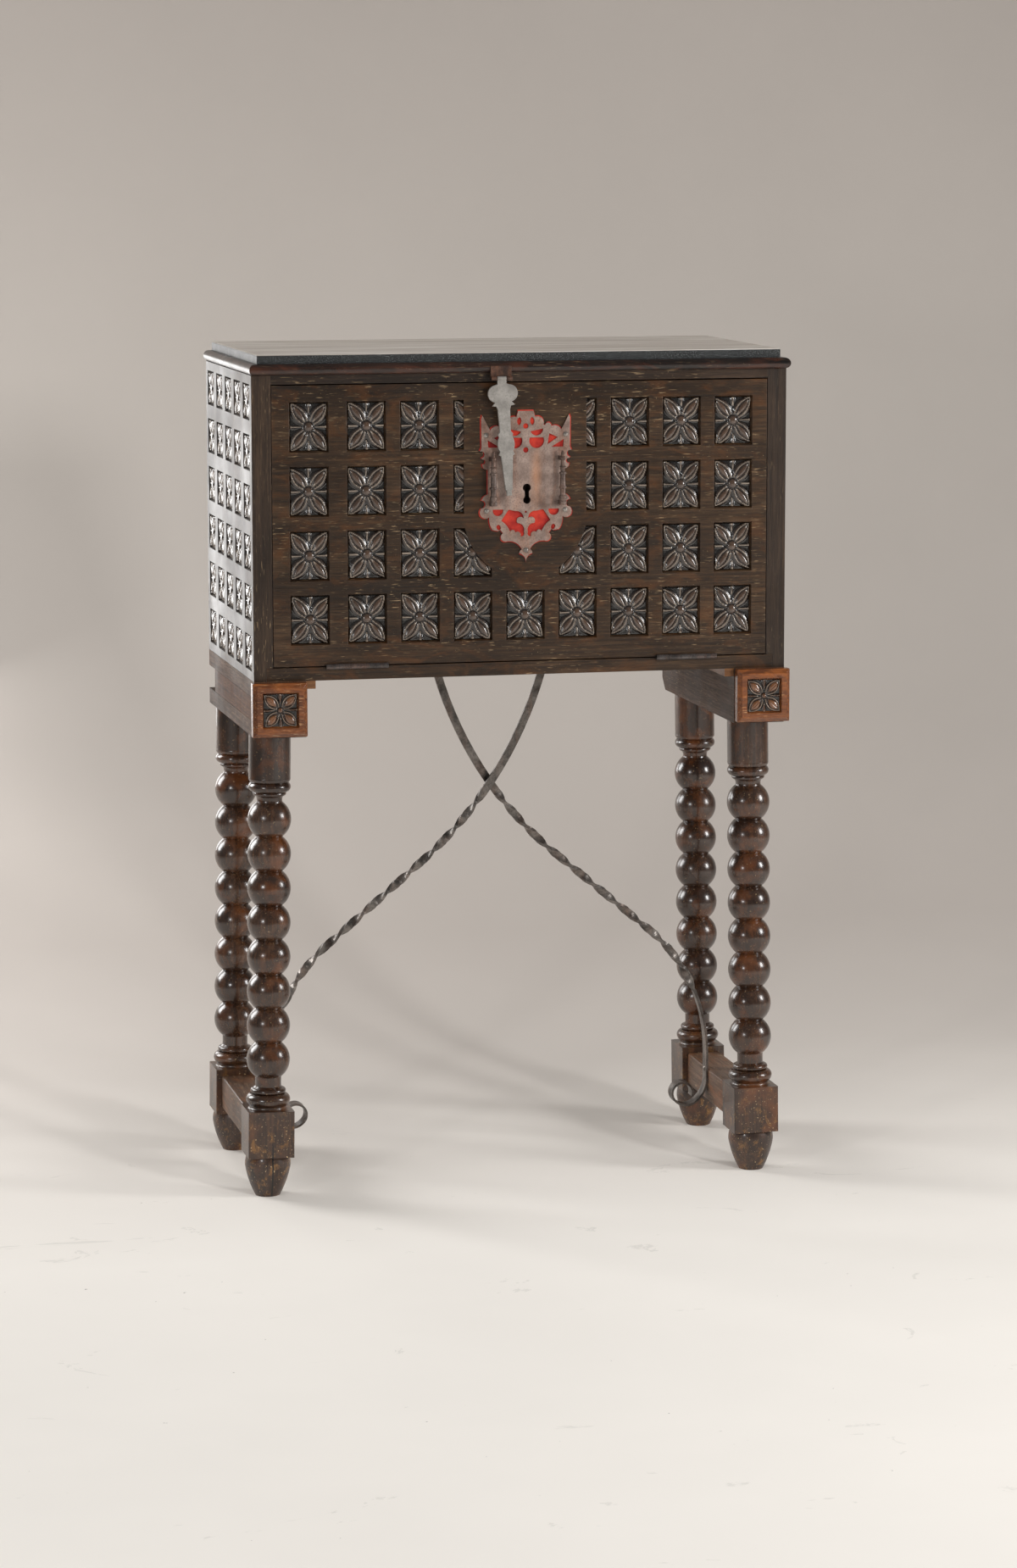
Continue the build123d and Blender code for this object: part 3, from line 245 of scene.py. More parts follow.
def wood(name, axis, dark, middle, light, rough, dashes, dash_colour=srgb(168, 142, 108), coat=0.0,
         patch=0.0, patch_colour=None, offset=0.0, specular=0.45):
    """Old waxed wood with its grain along one axis, pale scratches and patches of another tone."""
    s = Shader(name)
    shift = (offset, offset * 1.7, offset * 0.6)
    broad, grain = grain_tone(s, axis, shift)
    fine = s.noise(s.mapped(along(axis, 38, 1100), shift), 3, 0.6)
    cloud = s.noise(s.mapped((9, 9, 9), shift), 4, 0.6)
    tone = s.maths("ADD", s.maths("MULTIPLY", broad, 0.5), s.maths("MULTIPLY", grain, 0.5))
    colour = s.ramp(tone, ((0.36, dark), (0.5, middle), (0.64, light)))
    colour = s.mix(s.ramp(fine, ((0.38, 0.7), (0.5, 0.0))), colour, dark)
    colour = s.mix(s.ramp(cloud, ((0.3, 0.5), (0.6, 0.0))), colour, dark)
    if patch:
        spread = s.noise(s.mapped(along(axis, 16, 34), shift), 6, 0.7, 0.8)
        colour = s.mix(s.ramp(spread, ((0.5, 0.0), (0.66, patch))), colour, patch_colour)
    mask = dash_mask(s, axis, shift, dashes)
    colour = s.mix(mask, colour, dash_colour)
    roughness = s.ramp(cloud, ((0.3, rough * 0.8), (0.7, rough * 1.3)))
    normal = s.bump(fine, 0.00018, 0.6)
    normal = s.bump(grain, 0.0006, 0.55, normal)
    normal = s.bump(cloud, 0.0016, 0.3, normal)
    return s.finish(
        Base_Color=colour, Roughness=roughness, Normal=normal, Coat_Weight=coat, Coat_Roughness=0.2,
        Specular_IOR_Level=specular,
    )


def carved_oak(name, low, high):
    """Wood of the carved flowers: painted shade makes it nearly black in the hollows and browner on top;
    the raised edges are paled for wear and painted highlight.
    """
    s = Shader(name)
    cloud = s.noise(s.mapped((26, 26, 26)), 4, 0.6)
    fine = s.noise(s.mapped((260, 260, 260)), 3, 0.6)
    height = s.attribute("relief")
    # painted shade: the colour darkens from brown on top to near black deep in the carving
    colour = s.ramp(height, ((0.12, srgb(9, 7, 6)), (0.5, low), (0.95, high)))
    colour = s.mix(s.ramp(cloud, ((0.35, 0.4), (0.6, 0.0))), colour, srgb(24, 18, 15))
    uneven = s.ramp(cloud, ((0.3, 0.45), (0.6, 1.0)))
    # pale raised edges: partly wear, partly painted highlight
    rubbed = s.maths("MULTIPLY", s.attribute("worn"), uneven, clamp=True)
    colour = s.mix(rubbed, colour, srgb(142, 128, 114))
    roughness = s.ramp(fine, ((0.3, 0.3), (0.7, 0.2)))
    normal = s.bump(fine, 0.00025, 0.4)
    return s.finish(
        Base_Color=colour, Roughness=roughness, Normal=normal, Coat_Weight=0.6, Coat_Roughness=0.14,
        Specular_IOR_Level=0.7,
    )


def top_slab():
    """Board painted to look like stone: nearly black speckled edges, and on the top a pale grey that is
    painted reflection of the wall.
    """
    s = Shader("slab_paint_and_reflection")
    speck = s.noise(s.mapped((900, 900, 900)), 3, 0.6)
    broad = s.noise(s.mapped((3, 42, 42)), 6, 0.65, 0.5)
    streak = s.noise(s.mapped((9, 260, 260)), 4, 0.6)
    edge = s.ramp(speck, ((0.4, srgb(12, 13, 13)), (0.58, srgb(36, 38, 39)), (0.68, srgb(168, 172, 172))))
    # painted reflection: the pale streaked tones of the top face stand in for the wall mirrored at a
    # grazing view
    pale = s.ramp(broad, (
        (0.34, srgb(182, 171, 160)), (0.52, srgb(212, 203, 193)), (0.66, srgb(238, 233, 226)),
    ))
    pale = s.mix(s.ramp(streak, ((0.36, 0.5), (0.52, 0.0))), pale, srgb(160, 147, 136))
    top = s.between(s.coordinate("z"), *SLAB_REFLECTION_BAND)
    roughness = s.ramp(broad, ((0.3, 0.42), (0.7, 0.55)))
    return s.finish(
        Base_Color=s.mix(top, edge, pale), Roughness=roughness, Normal=s.bump(speck, 0.0003, 0.6),
    )


def turned_wood(name, cracked=False):
    """Polished walnut of the turned legs, worn to gold near the floor, with or without a crack."""
    s = Shader(name)
    broad, grain = grain_tone(s, "z", (0.0, 0.0, 0.0))
    cloud = s.noise(s.mapped((22, 22, 15)), 5, 0.62, 0.4)
    patches = s.noise(s.mapped((24, 24, 20), (3.1, 0.4, 1.7)), 5, 0.6, 0.3)
    tone = s.maths("ADD", s.maths("MULTIPLY", broad, 0.45), s.maths("MULTIPLY", grain, 0.55))
    colour = s.ramp(tone, ((0.36, srgb(30, 19, 13)), (0.5, srgb(58, 38, 26)), (0.64, srgb(84, 56, 37))))
    colour = s.mix(s.ramp(cloud, ((0.34, 0.75), (0.6, 0.0))), colour, srgb(24, 14, 11))
    colour = s.mix(s.ramp(patches, ((0.5, 0.0), (0.68, 0.45))), colour, srgb(118, 66, 30))
    low = s.between(s.coordinate("z"), *FOOT_WEAR)
    rubbed = s.noise(s.mapped((70, 70, 55)), 7, 0.75, 0.5)
    wear = s.maths("MULTIPLY", s.ramp(rubbed, ((0.54, 0.0), (0.63, 0.55))), low)
    colour = s.mix(wear, colour, srgb(140, 98, 48))
    specks = s.noise(s.mapped((420, 420, 420)), 2, 0.5)
    chips = s.ramp(specks, ((0.68, 0.0), (0.73, 1.0)))
    chips = s.maths("MULTIPLY", chips, s.between(low, 0, 1, 0.35, 0.9))
    colour = s.mix(chips, colour, srgb(206, 178, 134))
    roughness = s.ramp(cloud, ((0.3, 0.2), (0.7, 0.3)))
    roughness = s.mix(low, roughness, (0.42, 0.42, 0.42, 1.0))
    if cracked:
        wobble = s.maths("MULTIPLY", s.noise(s.mapped((0, 0, 160)), 3, 0.6), CRACK_WOBBLE)
        offset = s.maths("ADD", s.maths("SUBTRACT", s.coordinate("x"), CRACK_X), wobble)
        offset = s.maths("ABSOLUTE", offset)
        width = s.between(s.coordinate("z"), CRACK_TOP - CRACK_LENGTH, CRACK_TOP, CRACK_WIDTH, 0.0)
        colour = s.mix(s.maths("LESS_THAN", offset, width), colour, srgb(8, 6, 5))
    normal = s.bump(grain, 0.00035, 0.4)
    normal = s.bump(cloud, 0.0014, 0.35, normal)
    return s.finish(
        Base_Color=colour, Roughness=roughness, Normal=normal, Coat_Weight=0.35, Coat_Roughness=0.16,
        Specular_IOR_Level=0.6,
    )


def iron(name, dark, light, rust=0.0, rough=0.42, metallic=0.5, streak_x=None):
    """Forged iron: clouded colour, hammer dents and pits; where asked, rust and one rust streak."""
    s = Shader(name)
    cloud = s.noise(s.mapped((45, 45, 45)), 5, 0.6)
    fine = s.noise(s.mapped((420, 420, 420)), 4, 0.6)
    dents = s.noise(s.mapped((110, 110, 80)), 2, 0.5)
    colour = s.ramp(cloud, ((0.32, dark), (0.66, light)))
    colour = s.mix(s.ramp(fine, ((0.34, 0.5), (0.52, 0.0))), colour, dark)
    rust_colour = s.ramp(fine, ((0.35, srgb(104, 58, 34)), (0.65, srgb(172, 112, 74))))
    if rust:
        streak = s.noise(s.mapped((60, 60, 14)), 5, 0.65, 0.4)
        colour = s.mix(s.ramp(streak, ((0.47, 0.0), (0.68, rust))), colour, rust_colour)
    if streak_x is not None:
        spread = s.noise(s.mapped((50, 50, 22)), 4, 0.6)
        offset = s.maths("ABSOLUTE", s.maths("SUBTRACT", s.coordinate("x"), streak_x))
        centred = s.between(offset, 0.0, STREAK_HALF_WIDTH, 1.0, 0.0)
        run = s.maths("MULTIPLY", centred, s.ramp(spread, ((0.34, 0.2), (0.6, 1.0))))
        run = s.maths("MULTIPLY", run, s.between(s.coordinate("z"), *STREAK_LOW))
        run = s.maths("MULTIPLY", run, s.between(s.coordinate("z"), *STREAK_HIGH))
        colour = s.mix(s.maths("MULTIPLY", run, 0.7), colour, srgb(184, 134, 102))
    roughness = s.ramp(fine, ((0.3, rough * 1.3), (0.7, rough * 0.85)))
    normal = s.bump(fine, 0.00022, 0.6)
    normal = s.bump(dents, 0.0009, 0.45, normal)
    return s.finish(
        Base_Color=colour, Metallic=metallic, Roughness=roughness, Normal=normal,
    )


def velvet_cloth():
    """Worn red velvet: short pile with a soft sheen, darker where it is dirty."""
    s = Shader("velvet_cloth")
    pile = s.noise(s.mapped((900, 900, 900)), 3, 0.6)
    cloud = s.noise(s.mapped((38, 38, 38)), 4, 0.6)
    colour = s.ramp(cloud, ((0.36, srgb(128, 24, 24)), (0.6, srgb(188, 56, 40))))
    colour = s.mix(s.ramp(pile, ((0.3, 0.35), (0.6, 0.0))), colour, srgb(120, 20, 16))
    normal = s.bump(pile, 0.0004, 0.8)
    return s.finish(
        Base_Color=colour, Roughness=0.95, Normal=normal, Sheen_Weight=0.25, Sheen_Roughness=0.4,
    )


def stage_paint():
    """Studio sweep: pale scuffed floor that runs into a grey wall, with painted shade that darkens the
    wall towards its top.
    """
    s = Shader("studio_paint")
    cloud = s.noise(s.mapped((1.2, 1.2, 1.2)), 4, 0.6)
    depth = s.coordinate("y")
    height = s.coordinate("z")
    # painted shade: the wall darkens towards the top, and the floor's colour fades into the wall's, as
    # light falls off
    wall = s.ramp(s.between(height, 0.0, WALL_SHADE_TOP), (
        (0.0, srgb(190, 182, 175)), (0.4, srgb(186, 179, 172)), (1.0, srgb(166, 158, 152)),
    ))
    floor = srgb(243, 238, 231)
    colour = s.mix(s.between(depth, *FLOOR_TO_WALL), floor, wall)
    specks = s.noise(s.mapped((70, 70, 70)), 2, 0.5)
    near = s.between(depth, *DIRT_FADE)
    dirt = s.maths("MULTIPLY", s.ramp(specks, ((0.775, 0.0), (0.80, 0.7))), near)
    colour = s.mix(dirt, colour, srgb(70, 64, 60))
    scuffs = s.noise(s.mapped((5, 9, 5), (0.3, 0.8, 0.0)), 5, 0.7, 1.2)
    worn = s.ramp(scuffs, ((0.655, 0.0), (0.665, 0.28), (0.69, 0.28), (0.70, 0.0)))
    worn = s.maths("MULTIPLY", worn, near)
    colour = s.mix(worn, colour, srgb(190, 188, 180))
    colour = s.mix(1.0, colour, s.ramp(cloud, ((0.3, 0.95), (0.7, 1.0))), "MULTIPLY")
    return s.finish(Base_Color=colour, Roughness=0.9, Specular_IOR_Level=0.2)


# ---- meshes ----

def mesh_object(name, points, faces, material, body, values):
    """New piece from points in millimetres that rides on a body; values are point attributes."""
    mesh = bpy.data.meshes.new(name)
    mesh.from_pydata([tuple(c * MM for c in p) for p in points], [], faces)
    mesh.polygons.foreach_set("use_smooth", [True] * len(mesh.polygons))
    for label, numbers in values.items():
        layer = mesh.attributes.new(label, "FLOAT", "POINT")
        layer.data.foreach_set("value", np.asarray(numbers, dtype=np.float32))
    mesh.materials.append(material)
    mesh.update()
    piece = bpy.data.objects.new(name, mesh)
    bpy.context.scene.collection.objects.link(piece)
    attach(piece, body)
    return piece


def dress(names, material):
    """Give CAD nodes their material."""
    for name in names:
        mesh = nodes[name].data
        mesh.materials.clear()
        mesh.materials.append(material)


def soften(names, width):
    """Round the hard edges of CAD nodes a little, as hand work and wear do."""
    for name in names:
        piece = nodes[name]
        weld = piece.modifiers.new("weld", "WELD")
        weld.merge_threshold = WELD_DISTANCE
        bevel = piece.modifiers.new("bevel", "BEVEL")
        bevel.width = width * MM
        bevel.segments = BEVEL_SEGMENTS
        bevel.limit_method = "ANGLE"
        bevel.angle_limit = math.radians(BEVEL_ANGLE)
        bevel.harden_normals = True


# ---- carved flowers ----

CASE_FLOWER = {"petal": 0.275, "lens": 0.42, "rim": 0.66, "boss": 7.6, "boss_rise": 4.8, "midrib": 0.0}
BLOCK_FLOWER = {"petal": 0.25, "lens": 0.74, "rim": 0.96, "boss": 4.4, "boss_rise": 3.6, "midrib": 0.8}

# heights above the coffer's floor (millimetres)
FLOOR_LEVEL = 0.4
BLADE_EDGE = 1.3
BLADE_RISE = 1.9
HOLLOW_LEVEL = 1.2        # between a petal's rim and its lens
RIM_RISE = 1.5
LENS_RISE = 3.4
PETAL_TOP = 4.9
DART_RISE = 3.0
BOSS_FOOT = 0.3
GROOVE_TOP = 0.9          # no petal stands higher than this round the boss
SIDE_LIFT = 1.6           # the side boards' carving is fuller than the front's
FACE_GAP = 0.15           # the carving stays this far below the face of the board
FULL_RELIEF = 5.0         # height at which the painted shade of the hollows has faded to the wood's brownest tone

# places on the flower (millimetres)
PETAL_START = 2.0         # from the flower's middle
RIM_START = 3.5
RIM_INSET = 1.2           # the rim ends this far before the petal's point
LENS_START = 8.0
LENS_INSET = 3.8
PETAL_MARGIN = 1.6        # from a petal's point to the corner of the field
SIDE_DART = {"length": 17, "half_width": 2.6}
END_DART = {"length": 15, "half_width": 4.2}
DART_OVERRUN = 4          # a dart runs on this far past the edge of the field
GROOVE_WIDTH = 1.3
FLOOR_OVERLAP = 0.1       # a field is this much wider than its floor on each side, so that no gap shows
BORDER = 0.1              # points this close to the edge of the field lie on its floor

# shares across a leaf between which one form runs into the next
NO_LEAF = 9.0             # stands for being past the leaf's ends
LEAF_EDGE = (0.93, 1.03)
RIM_INNER = (0.74, 0.86)
RIM_OUTER = (0.96, 1.1)
HOLLOW_EDGE = (0.80, 0.90)
MIDRIB_EDGE = (0.05, 0.16)

# unevenness of the carver's hand (standard deviations)
SHIFT_SCATTER = 0.4       # millimetres, of a whole flower
TURN_SCATTER = 0.012      # radians, of a whole flower
ANGLE_SCATTER = 0.02      # radians, of one petal
LENGTH_SCATTER = 0.5      # millimetres, of one petal
WIDTH_SCATTER = 0.03      # share of a petal's width
TOOL_MARKS = 0.035        # millimetres, of each point's height

# spacing of the mesh's points (millimetres)
FRONT_STEP = 1.15
SIDE_STEP = 1.4
BLOCK_STEP = 0.6

# wear and painted highlight on the raised edges
WEAR_AND_GLINT_REACH = 2            # mesh points each way that an edge is compared with
WEAR_AND_GLINT_START = 0.45         # an edge that stands this far above what is round it starts to pale
WEAR_AND_GLINT_FULL = 1.15          # and at this height it is fully pale, for wear and painted highlight


def leaf(x, z, angle, start, end, half_width, fullest=0.5):
    """Distance along (0 to 1) and across (0 centre, 1 edge) a pointed leaf."""
    along_leaf = x * math.cos(angle) + z * math.sin(angle)
    across_leaf = -x * math.sin(angle) + z * math.cos(angle)
    t = (along_leaf - start) / (end - start)
    inside = np.clip(t, 0.0, 1.0)
    skewed = inside ** (math.log(0.5) / math.log(fullest))
    width = half_width * np.sin(math.pi * skewed) ** 0.8 + 1e-6
    share = np.abs(across_leaf) / width
    share[(t <= 0) | (t >= 1)] = NO_LEAF
    return inside, share


def rise(value, low, high):
    """Smooth step from 0 to 1."""
    share = np.clip((value - low) / (high - low), 0.0, 1.0)
    return share * share * (3 - 2 * share)


def petal(x, z, angle, end, style, random):
    """One petal: a broad leaf, on it a raised rim, and inside the rim a smooth lens."""
    half_width = end * style["petal"] * (1 + random.normal(0, WIDTH_SCATTER))
    t, share = leaf(x, z, angle, PETAL_START, end, half_width)
    inside = 1 - rise(share, *LEAF_EDGE)
    blade = BLADE_EDGE + BLADE_RISE * np.clip(1 - share, 0, 1) ** 0.5
    rim_share = leaf(x, z, angle, RIM_START, end - RIM_INSET, half_width * style["rim"])[1]
    lens_width = half_width * style["lens"]
    lens_t, lens_share = leaf(x, z, angle, LENS_START, end - LENS_INSET, lens_width, fullest=0.54)
    ridge = rise(rim_share, *RIM_INNER) * (1 - rise(rim_share, *RIM_OUTER))
    hollow = 1 - rise(rim_share, *HOLLOW_EDGE)
    dome = np.clip(1 - lens_share**2, 0, 1) ** 0.6
    dome *= np.sin(math.pi * np.clip(lens_t, 0.02, 0.98)) ** 0.35
    dome -= style["midrib"] * 0.3 * (1 - rise(lens_share, *MIDRIB_EDGE)) * (lens_share < 1)
    height = blade * (1 - hollow) + HOLLOW_LEVEL * hollow + RIM_RISE * ridge
    height += LENS_RISE * np.clip(dome, 0, 1)
    height = np.minimum(height, PETAL_TOP)
    return np.where(share < NO_LEAF - 1, FLOOR_LEVEL + inside * height, FLOOR_LEVEL)


def darts(x, z, half_x, half_z):
    """Small pointed leaves between the petals: long at the sides, short at top and bottom."""
    height = np.full_like(x, FLOOR_LEVEL)
    for angle, reach, dart in (
        (0, half_x, SIDE_DART), (math.pi, half_x, SIDE_DART),
        (math.pi / 2, half_z, END_DART), (-math.pi / 2, half_z, END_DART),
    ):
        start = reach - dart["length"]
        end = reach + DART_OVERRUN
        share = leaf(x, z, angle, start, end, dart["half_width"], fullest=0.6)[1]
        height = np.maximum(height, FLOOR_LEVEL + DART_RISE * np.clip(1 - share, 0, 1) ** 0.75)
    return height


def flower_height(x, z, half_x, half_z, random, style):
    """Height of the carved flower above the coffer's floor at points x, z from its middle."""
    height = darts(x, z, half_x, half_z)
    diagonal = math.hypot(half_x, half_z)
    for sign_x, sign_z in ((1, 1), (-1, 1), (-1, -1), (1, -1)):
        angle = math.atan2(sign_z * half_z, sign_x * half_x) + random.normal(0, ANGLE_SCATTER)
        end = diagonal - PETAL_MARGIN + random.normal(0, LENGTH_SCATTER)
        height = np.maximum(height, petal(x, z, angle, end, style, random))
    distance = np.hypot(x, z)
    boss = style["boss"]
    height = np.where(distance < boss + GROOVE_WIDTH, np.minimum(height, GROOVE_TOP), height)
    ball = style["boss_rise"] * np.sqrt(np.clip(1 - (distance / boss) ** 2, 0, 1))
    return np.maximum(height, BOSS_FOOT + ball)


def wear_and_glint_edges(height):
    """0 to 1 where the carving stands above the mean of what lies round it."""
    window = 2 * WEAR_AND_GLINT_REACH + 1
    padded = np.pad(height, WEAR_AND_GLINT_REACH, mode="edge")
    rows, columns = height.shape
    total = np.zeros_like(height)
    for i in range(window):
        for j in range(window):
            total += padded[i:i + rows, j:j + columns]
    return rise(height - total / window**2, WEAR_AND_GLINT_START, WEAR_AND_GLINT_FULL)


def flower_mesh(half_x, half_z, step, random, style):
    """Points (x, height, z), faces, relief and the wear-and-highlight mask of one carved field, closed at
    the back.
    """
    columns = int(round(2 * half_x / step)) + 1
    rows = int(round(2 * half_z / step)) + 1
    xs = np.linspace(-half_x, half_x, columns)
    zs = np.linspace(-half_z, half_z, rows)
    x, z = np.meshgrid(xs, zs, indexing="ij")
    shift_x, shift_z = random.normal(0, SHIFT_SCATTER, 2)
    turn = random.normal(0, TURN_SCATTER)
    moved_x = (x - shift_x) * math.cos(turn) + (z - shift_z) * math.sin(turn)
    moved_z = -(x - shift_x) * math.sin(turn) + (z - shift_z) * math.cos(turn)
    height = flower_height(moved_x, moved_z, half_x, half_z, random, style)
    height += random.normal(0, TOOL_MARKS, height.shape)
    edge = np.minimum(half_x - np.abs(x), half_z - np.abs(z))
    height = np.where(edge > BORDER, height, 0.0)
    points = list(zip(x.ravel(), height.ravel(), z.ravel()))
    relief = list(np.clip(height.ravel() / FULL_RELIEF, 0, 1))
    # the worn values pale the raised edges, for wear and painted highlight
    worn = list(wear_and_glint_edges(height).ravel())

    def index(i, j):
        return i * rows + j

    faces = [
        (index(i, j), index(i + 1, j), index(i + 1, j + 1), index(i, j + 1))
        for i in range(columns - 1)
        for j in range(rows - 1)
    ]
    rim = [index(i, 0) for i in range(columns)]
    rim += [index(columns - 1, j) for j in range(1, rows)]
    rim += [index(i, rows - 1) for i in range(columns - 2, -1, -1)]
    rim += [index(0, j) for j in range(rows - 2, 0, -1)]
    faces.append(tuple(reversed(rim)))
    return points, faces, relief, worn


def flowers(name, places, half_x, half_z, outward, across, material, body, seed, step,
            style=CASE_FLOWER, lift=0.0):
    """One piece with a carved flower at each place on a board that faces outward."""
    random = np.random.RandomState(seed)
    points = []
    faces = []
    relief = []
    worn = []
    flip = across.cross(outward).z < 0
    for centre in places:
        new_points, new_faces, new_relief, new_worn = flower_mesh(half_x, half_z, step, random, style)
        start = len(points)
        for u, height, w in new_points:
            out = min(height + lift * (height > 0), COFFER_DEPTH - FACE_GAP) - COFFER_DEPTH
            points.append(centre + across * u + outward * out + Vector((0, 0, w)))
        for face in new_faces:
            shifted = tuple(start + k for k in face)
            faces.append(tuple(reversed(shifted)) if flip else shifted)
        relief += new_relief
        worn += new_worn
    return mesh_object(name, points, faces, material, body, {"relief": relief, "worn": worn})


def grid_places(pattern, skip=(), first_gap=0.0):
    """Offsets of a pattern's coffers from its middle."""
    offsets = []
    for column in range(pattern["columns"]):
        for row in range(pattern["rows"]):
            if (column, row) in skip:
                continue
            across = (column - (pattern["columns"] - 1) / 2) * pattern["across"]
            up = (row - (pattern["rows"] - 1) / 2) * pattern["up"]
            offsets.append((across - (first_gap if column == 0 else 0.0), up))
    return offsets


def half_floor(size):
    """Half-width or half-height of the field that covers a coffer's floor."""
    return size / 2 - COFFER_SLOPE + FLOOR_OVERLAP


def carve_front(material):
    """Flowers in the coffers of the drop front."""
    low, high = (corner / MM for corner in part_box("fall_front"))
    skip = [(column, row) for column in LOCK_COLUMNS for row in LOCK_ROWS]
    middle = (low.z + high.z) / 2 + FRONT_LIFT
    offsets = grid_places(FRONT_COFFERS, skip, FIRST_GAP)
    places = [Vector((LOCK_X + u, low.y, middle + w)) for u, w in offsets]
    half_x = half_floor(FRONT_COFFERS["width"])
    half_z = half_floor(FRONT_COFFERS["height"])
    flowers("front_flowers", places, half_x, half_z, Vector((0, -1, 0)), Vector((1, 0, 0)),
            material, "drop_front", seed=11, step=FRONT_STEP)


def carve_sides(material):
    """Flowers in the coffers of both side boards."""
    half_x = half_floor(SIDE_COFFERS["width"])
    half_z = half_floor(SIDE_COFFERS["height"])
    for name, node, sign, seed in (("left", "side_left", -1, 23), ("right", "side_right", 1, 37)):
        low, high = (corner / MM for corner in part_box(node))
        x = high.x if sign > 0 else low.x
        middle = Vector((x, (low.y + high.y) / 2, (low.z + high.z) / 2))
        places = [middle + Vector((0, u, w)) for u, w in grid_places(SIDE_COFFERS)]
        flowers(f"side_flowers_{name}", places, half_x, half_z, Vector((sign, 0, 0)), Vector((0, 1, 0)),
                material, "case_and_stand", seed, step=SIDE_STEP, lift=SIDE_LIFT)


def carve_blocks(material):
    """Flower in the sunk square of each loper block."""
    for side, seed in (("left", 51), ("right", 52)):
        low, high = (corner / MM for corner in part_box(f"loper_block_{side}"))
        centre = Vector(((low.x + high.x) / 2, low.y, (low.z + high.z) / 2))
        half_x = half_floor(high.x - low.x - 2 * BLOCK_BORDER)
        half_z = half_floor(high.z - low.z - 2 * BLOCK_BORDER)
        flowers(f"block_flower_{side}", [centre], half_x, half_z, Vector((0, -1, 0)), Vector((1, 0, 0)),
                material, f"loper_{side}", seed, step=BLOCK_STEP, style=BLOCK_FLOWER)


# ---- materials on the CAD nodes ----

PLAIN_OAK = (srgb(92, 60, 36), srgb(128, 88, 55), srgb(152, 110, 72))


def dress_case():
    """Case, top and drop front."""
    front = wood("oak_front", "x", srgb(24, 16, 10), srgb(50, 34, 20), srgb(84, 62, 42),
                 rough=0.36, dashes=0.8, patch=0.45, patch_colour=srgb(88, 52, 22))
    upright = wood("oak_upright", "z", srgb(26, 18, 13), srgb(48, 35, 25), srgb(72, 55, 41),
                   rough=0.42, dashes=0.7)
    rail = wood("oak_rail", "x", srgb(22, 16, 12), srgb(44, 32, 24), srgb(74, 56, 42),
                rough=0.36, dashes=1.0, offset=3.1)
    moulding = wood("moulding", "x", srgb(13, 10, 9), srgb(30, 20, 16), srgb(56, 33, 23),
                    rough=0.3, dashes=0.5, coat=0.25, patch=0.5, patch_colour=srgb(84, 43, 26), offset=5.2)
    inside = wood("oak_inside", "z", *PLAIN_OAK, rough=0.5, dashes=0.1)
    inside_flat = wood("oak_inside_flat", "x", *PLAIN_OAK, rough=0.5, dashes=0.1, offset=2.0)
    dress(["fall_front", "floor_board"], front)
    dress(["side_left", "side_right"], upright)
    dress(["top_board"], top_slab())
    dress(["top_rail"], rail)
    dress(["edge_moulding"], moulding)
    dress(["back_panel", "front_stops", "nest_partitions"], inside)
    dress(["case_cleats", "bank_shelves", "niche_shelf"], inside_flat)
    carved = carved_oak("oak_carved", srgb(36, 26, 20), srgb(74, 55, 42))
    carve_front(carved)
    carve_sides(carved)


def dress_interior():
    """Drawers and the niche's arch."""
    face = wood("walnut_face", "x", srgb(58, 30, 17), srgb(96, 54, 30), srgb(128, 78, 46),
                rough=0.28, dashes=0.2, coat=0.2)
    box = wood("drawer_box_wood", "y", *PLAIN_OAK, rough=0.5, dashes=0.1, offset=7.0)
    knob = wood("boxwood", "y", srgb(150, 122, 84), srgb(184, 156, 112), srgb(208, 184, 142),
                rough=0.3, dashes=0.2, coat=0.2)
    dress(["niche_arch"], face)
    for side in ("left", "right"):
        for row in (1, 2, 3):
            dress([f"drawer_{side}_{row}_front"], face)
            dress([f"drawer_{side}_{row}_box"], box)
            dress([f"drawer_{side}_{row}_knob"], knob)


def dress_stand():
    """Legs, stretchers, bearers and lopers."""
    turned = turned_wood("turned_walnut")
    cracked = turned_wood("turned_walnut_cracked", cracked=True)
    stretcher = wood("stretcher_walnut", "y", srgb(54, 38, 28), srgb(92, 68, 52), srgb(128, 102, 84),
                     rough=0.42, dashes=0.9, patch=0.5, patch_colour=srgb(136, 82, 44))
    bearer = wood("bearer_walnut", "y", srgb(46, 34, 27), srgb(78, 60, 49), srgb(112, 90, 76),
                  rough=0.62, dashes=0.6, specular=0.2)
    loper = wood("loper_walnut", "y", srgb(46, 29, 20), srgb(76, 49, 34), srgb(104, 72, 50),
                 rough=0.62, dashes=0.6, specular=0.2)
    block = wood("block_walnut", "x", srgb(66, 36, 20), srgb(112, 62, 30), srgb(152, 90, 46),
                 rough=0.26, dashes=0.8, dash_colour=srgb(214, 168, 118), coat=0.35,
                 patch=0.4, patch_colour=srgb(168, 96, 40))
    dress(["leg_front_right", "leg_back_left", "leg_back_right"], turned)
    dress(["leg_front_left"], cracked)
    dress(["stretcher_left", "stretcher_right"], stretcher)
    dress(["bearer_board_left", "bearer_board_right", "bearer_strips"], bearer)
    dress(["loper_slide_left", "loper_slide_right"], loper)
    dress(["loper_block_left", "loper_block_right"], block)
    carve_blocks(carved_oak("block_carved", srgb(52, 32, 19), srgb(112, 70, 38)))


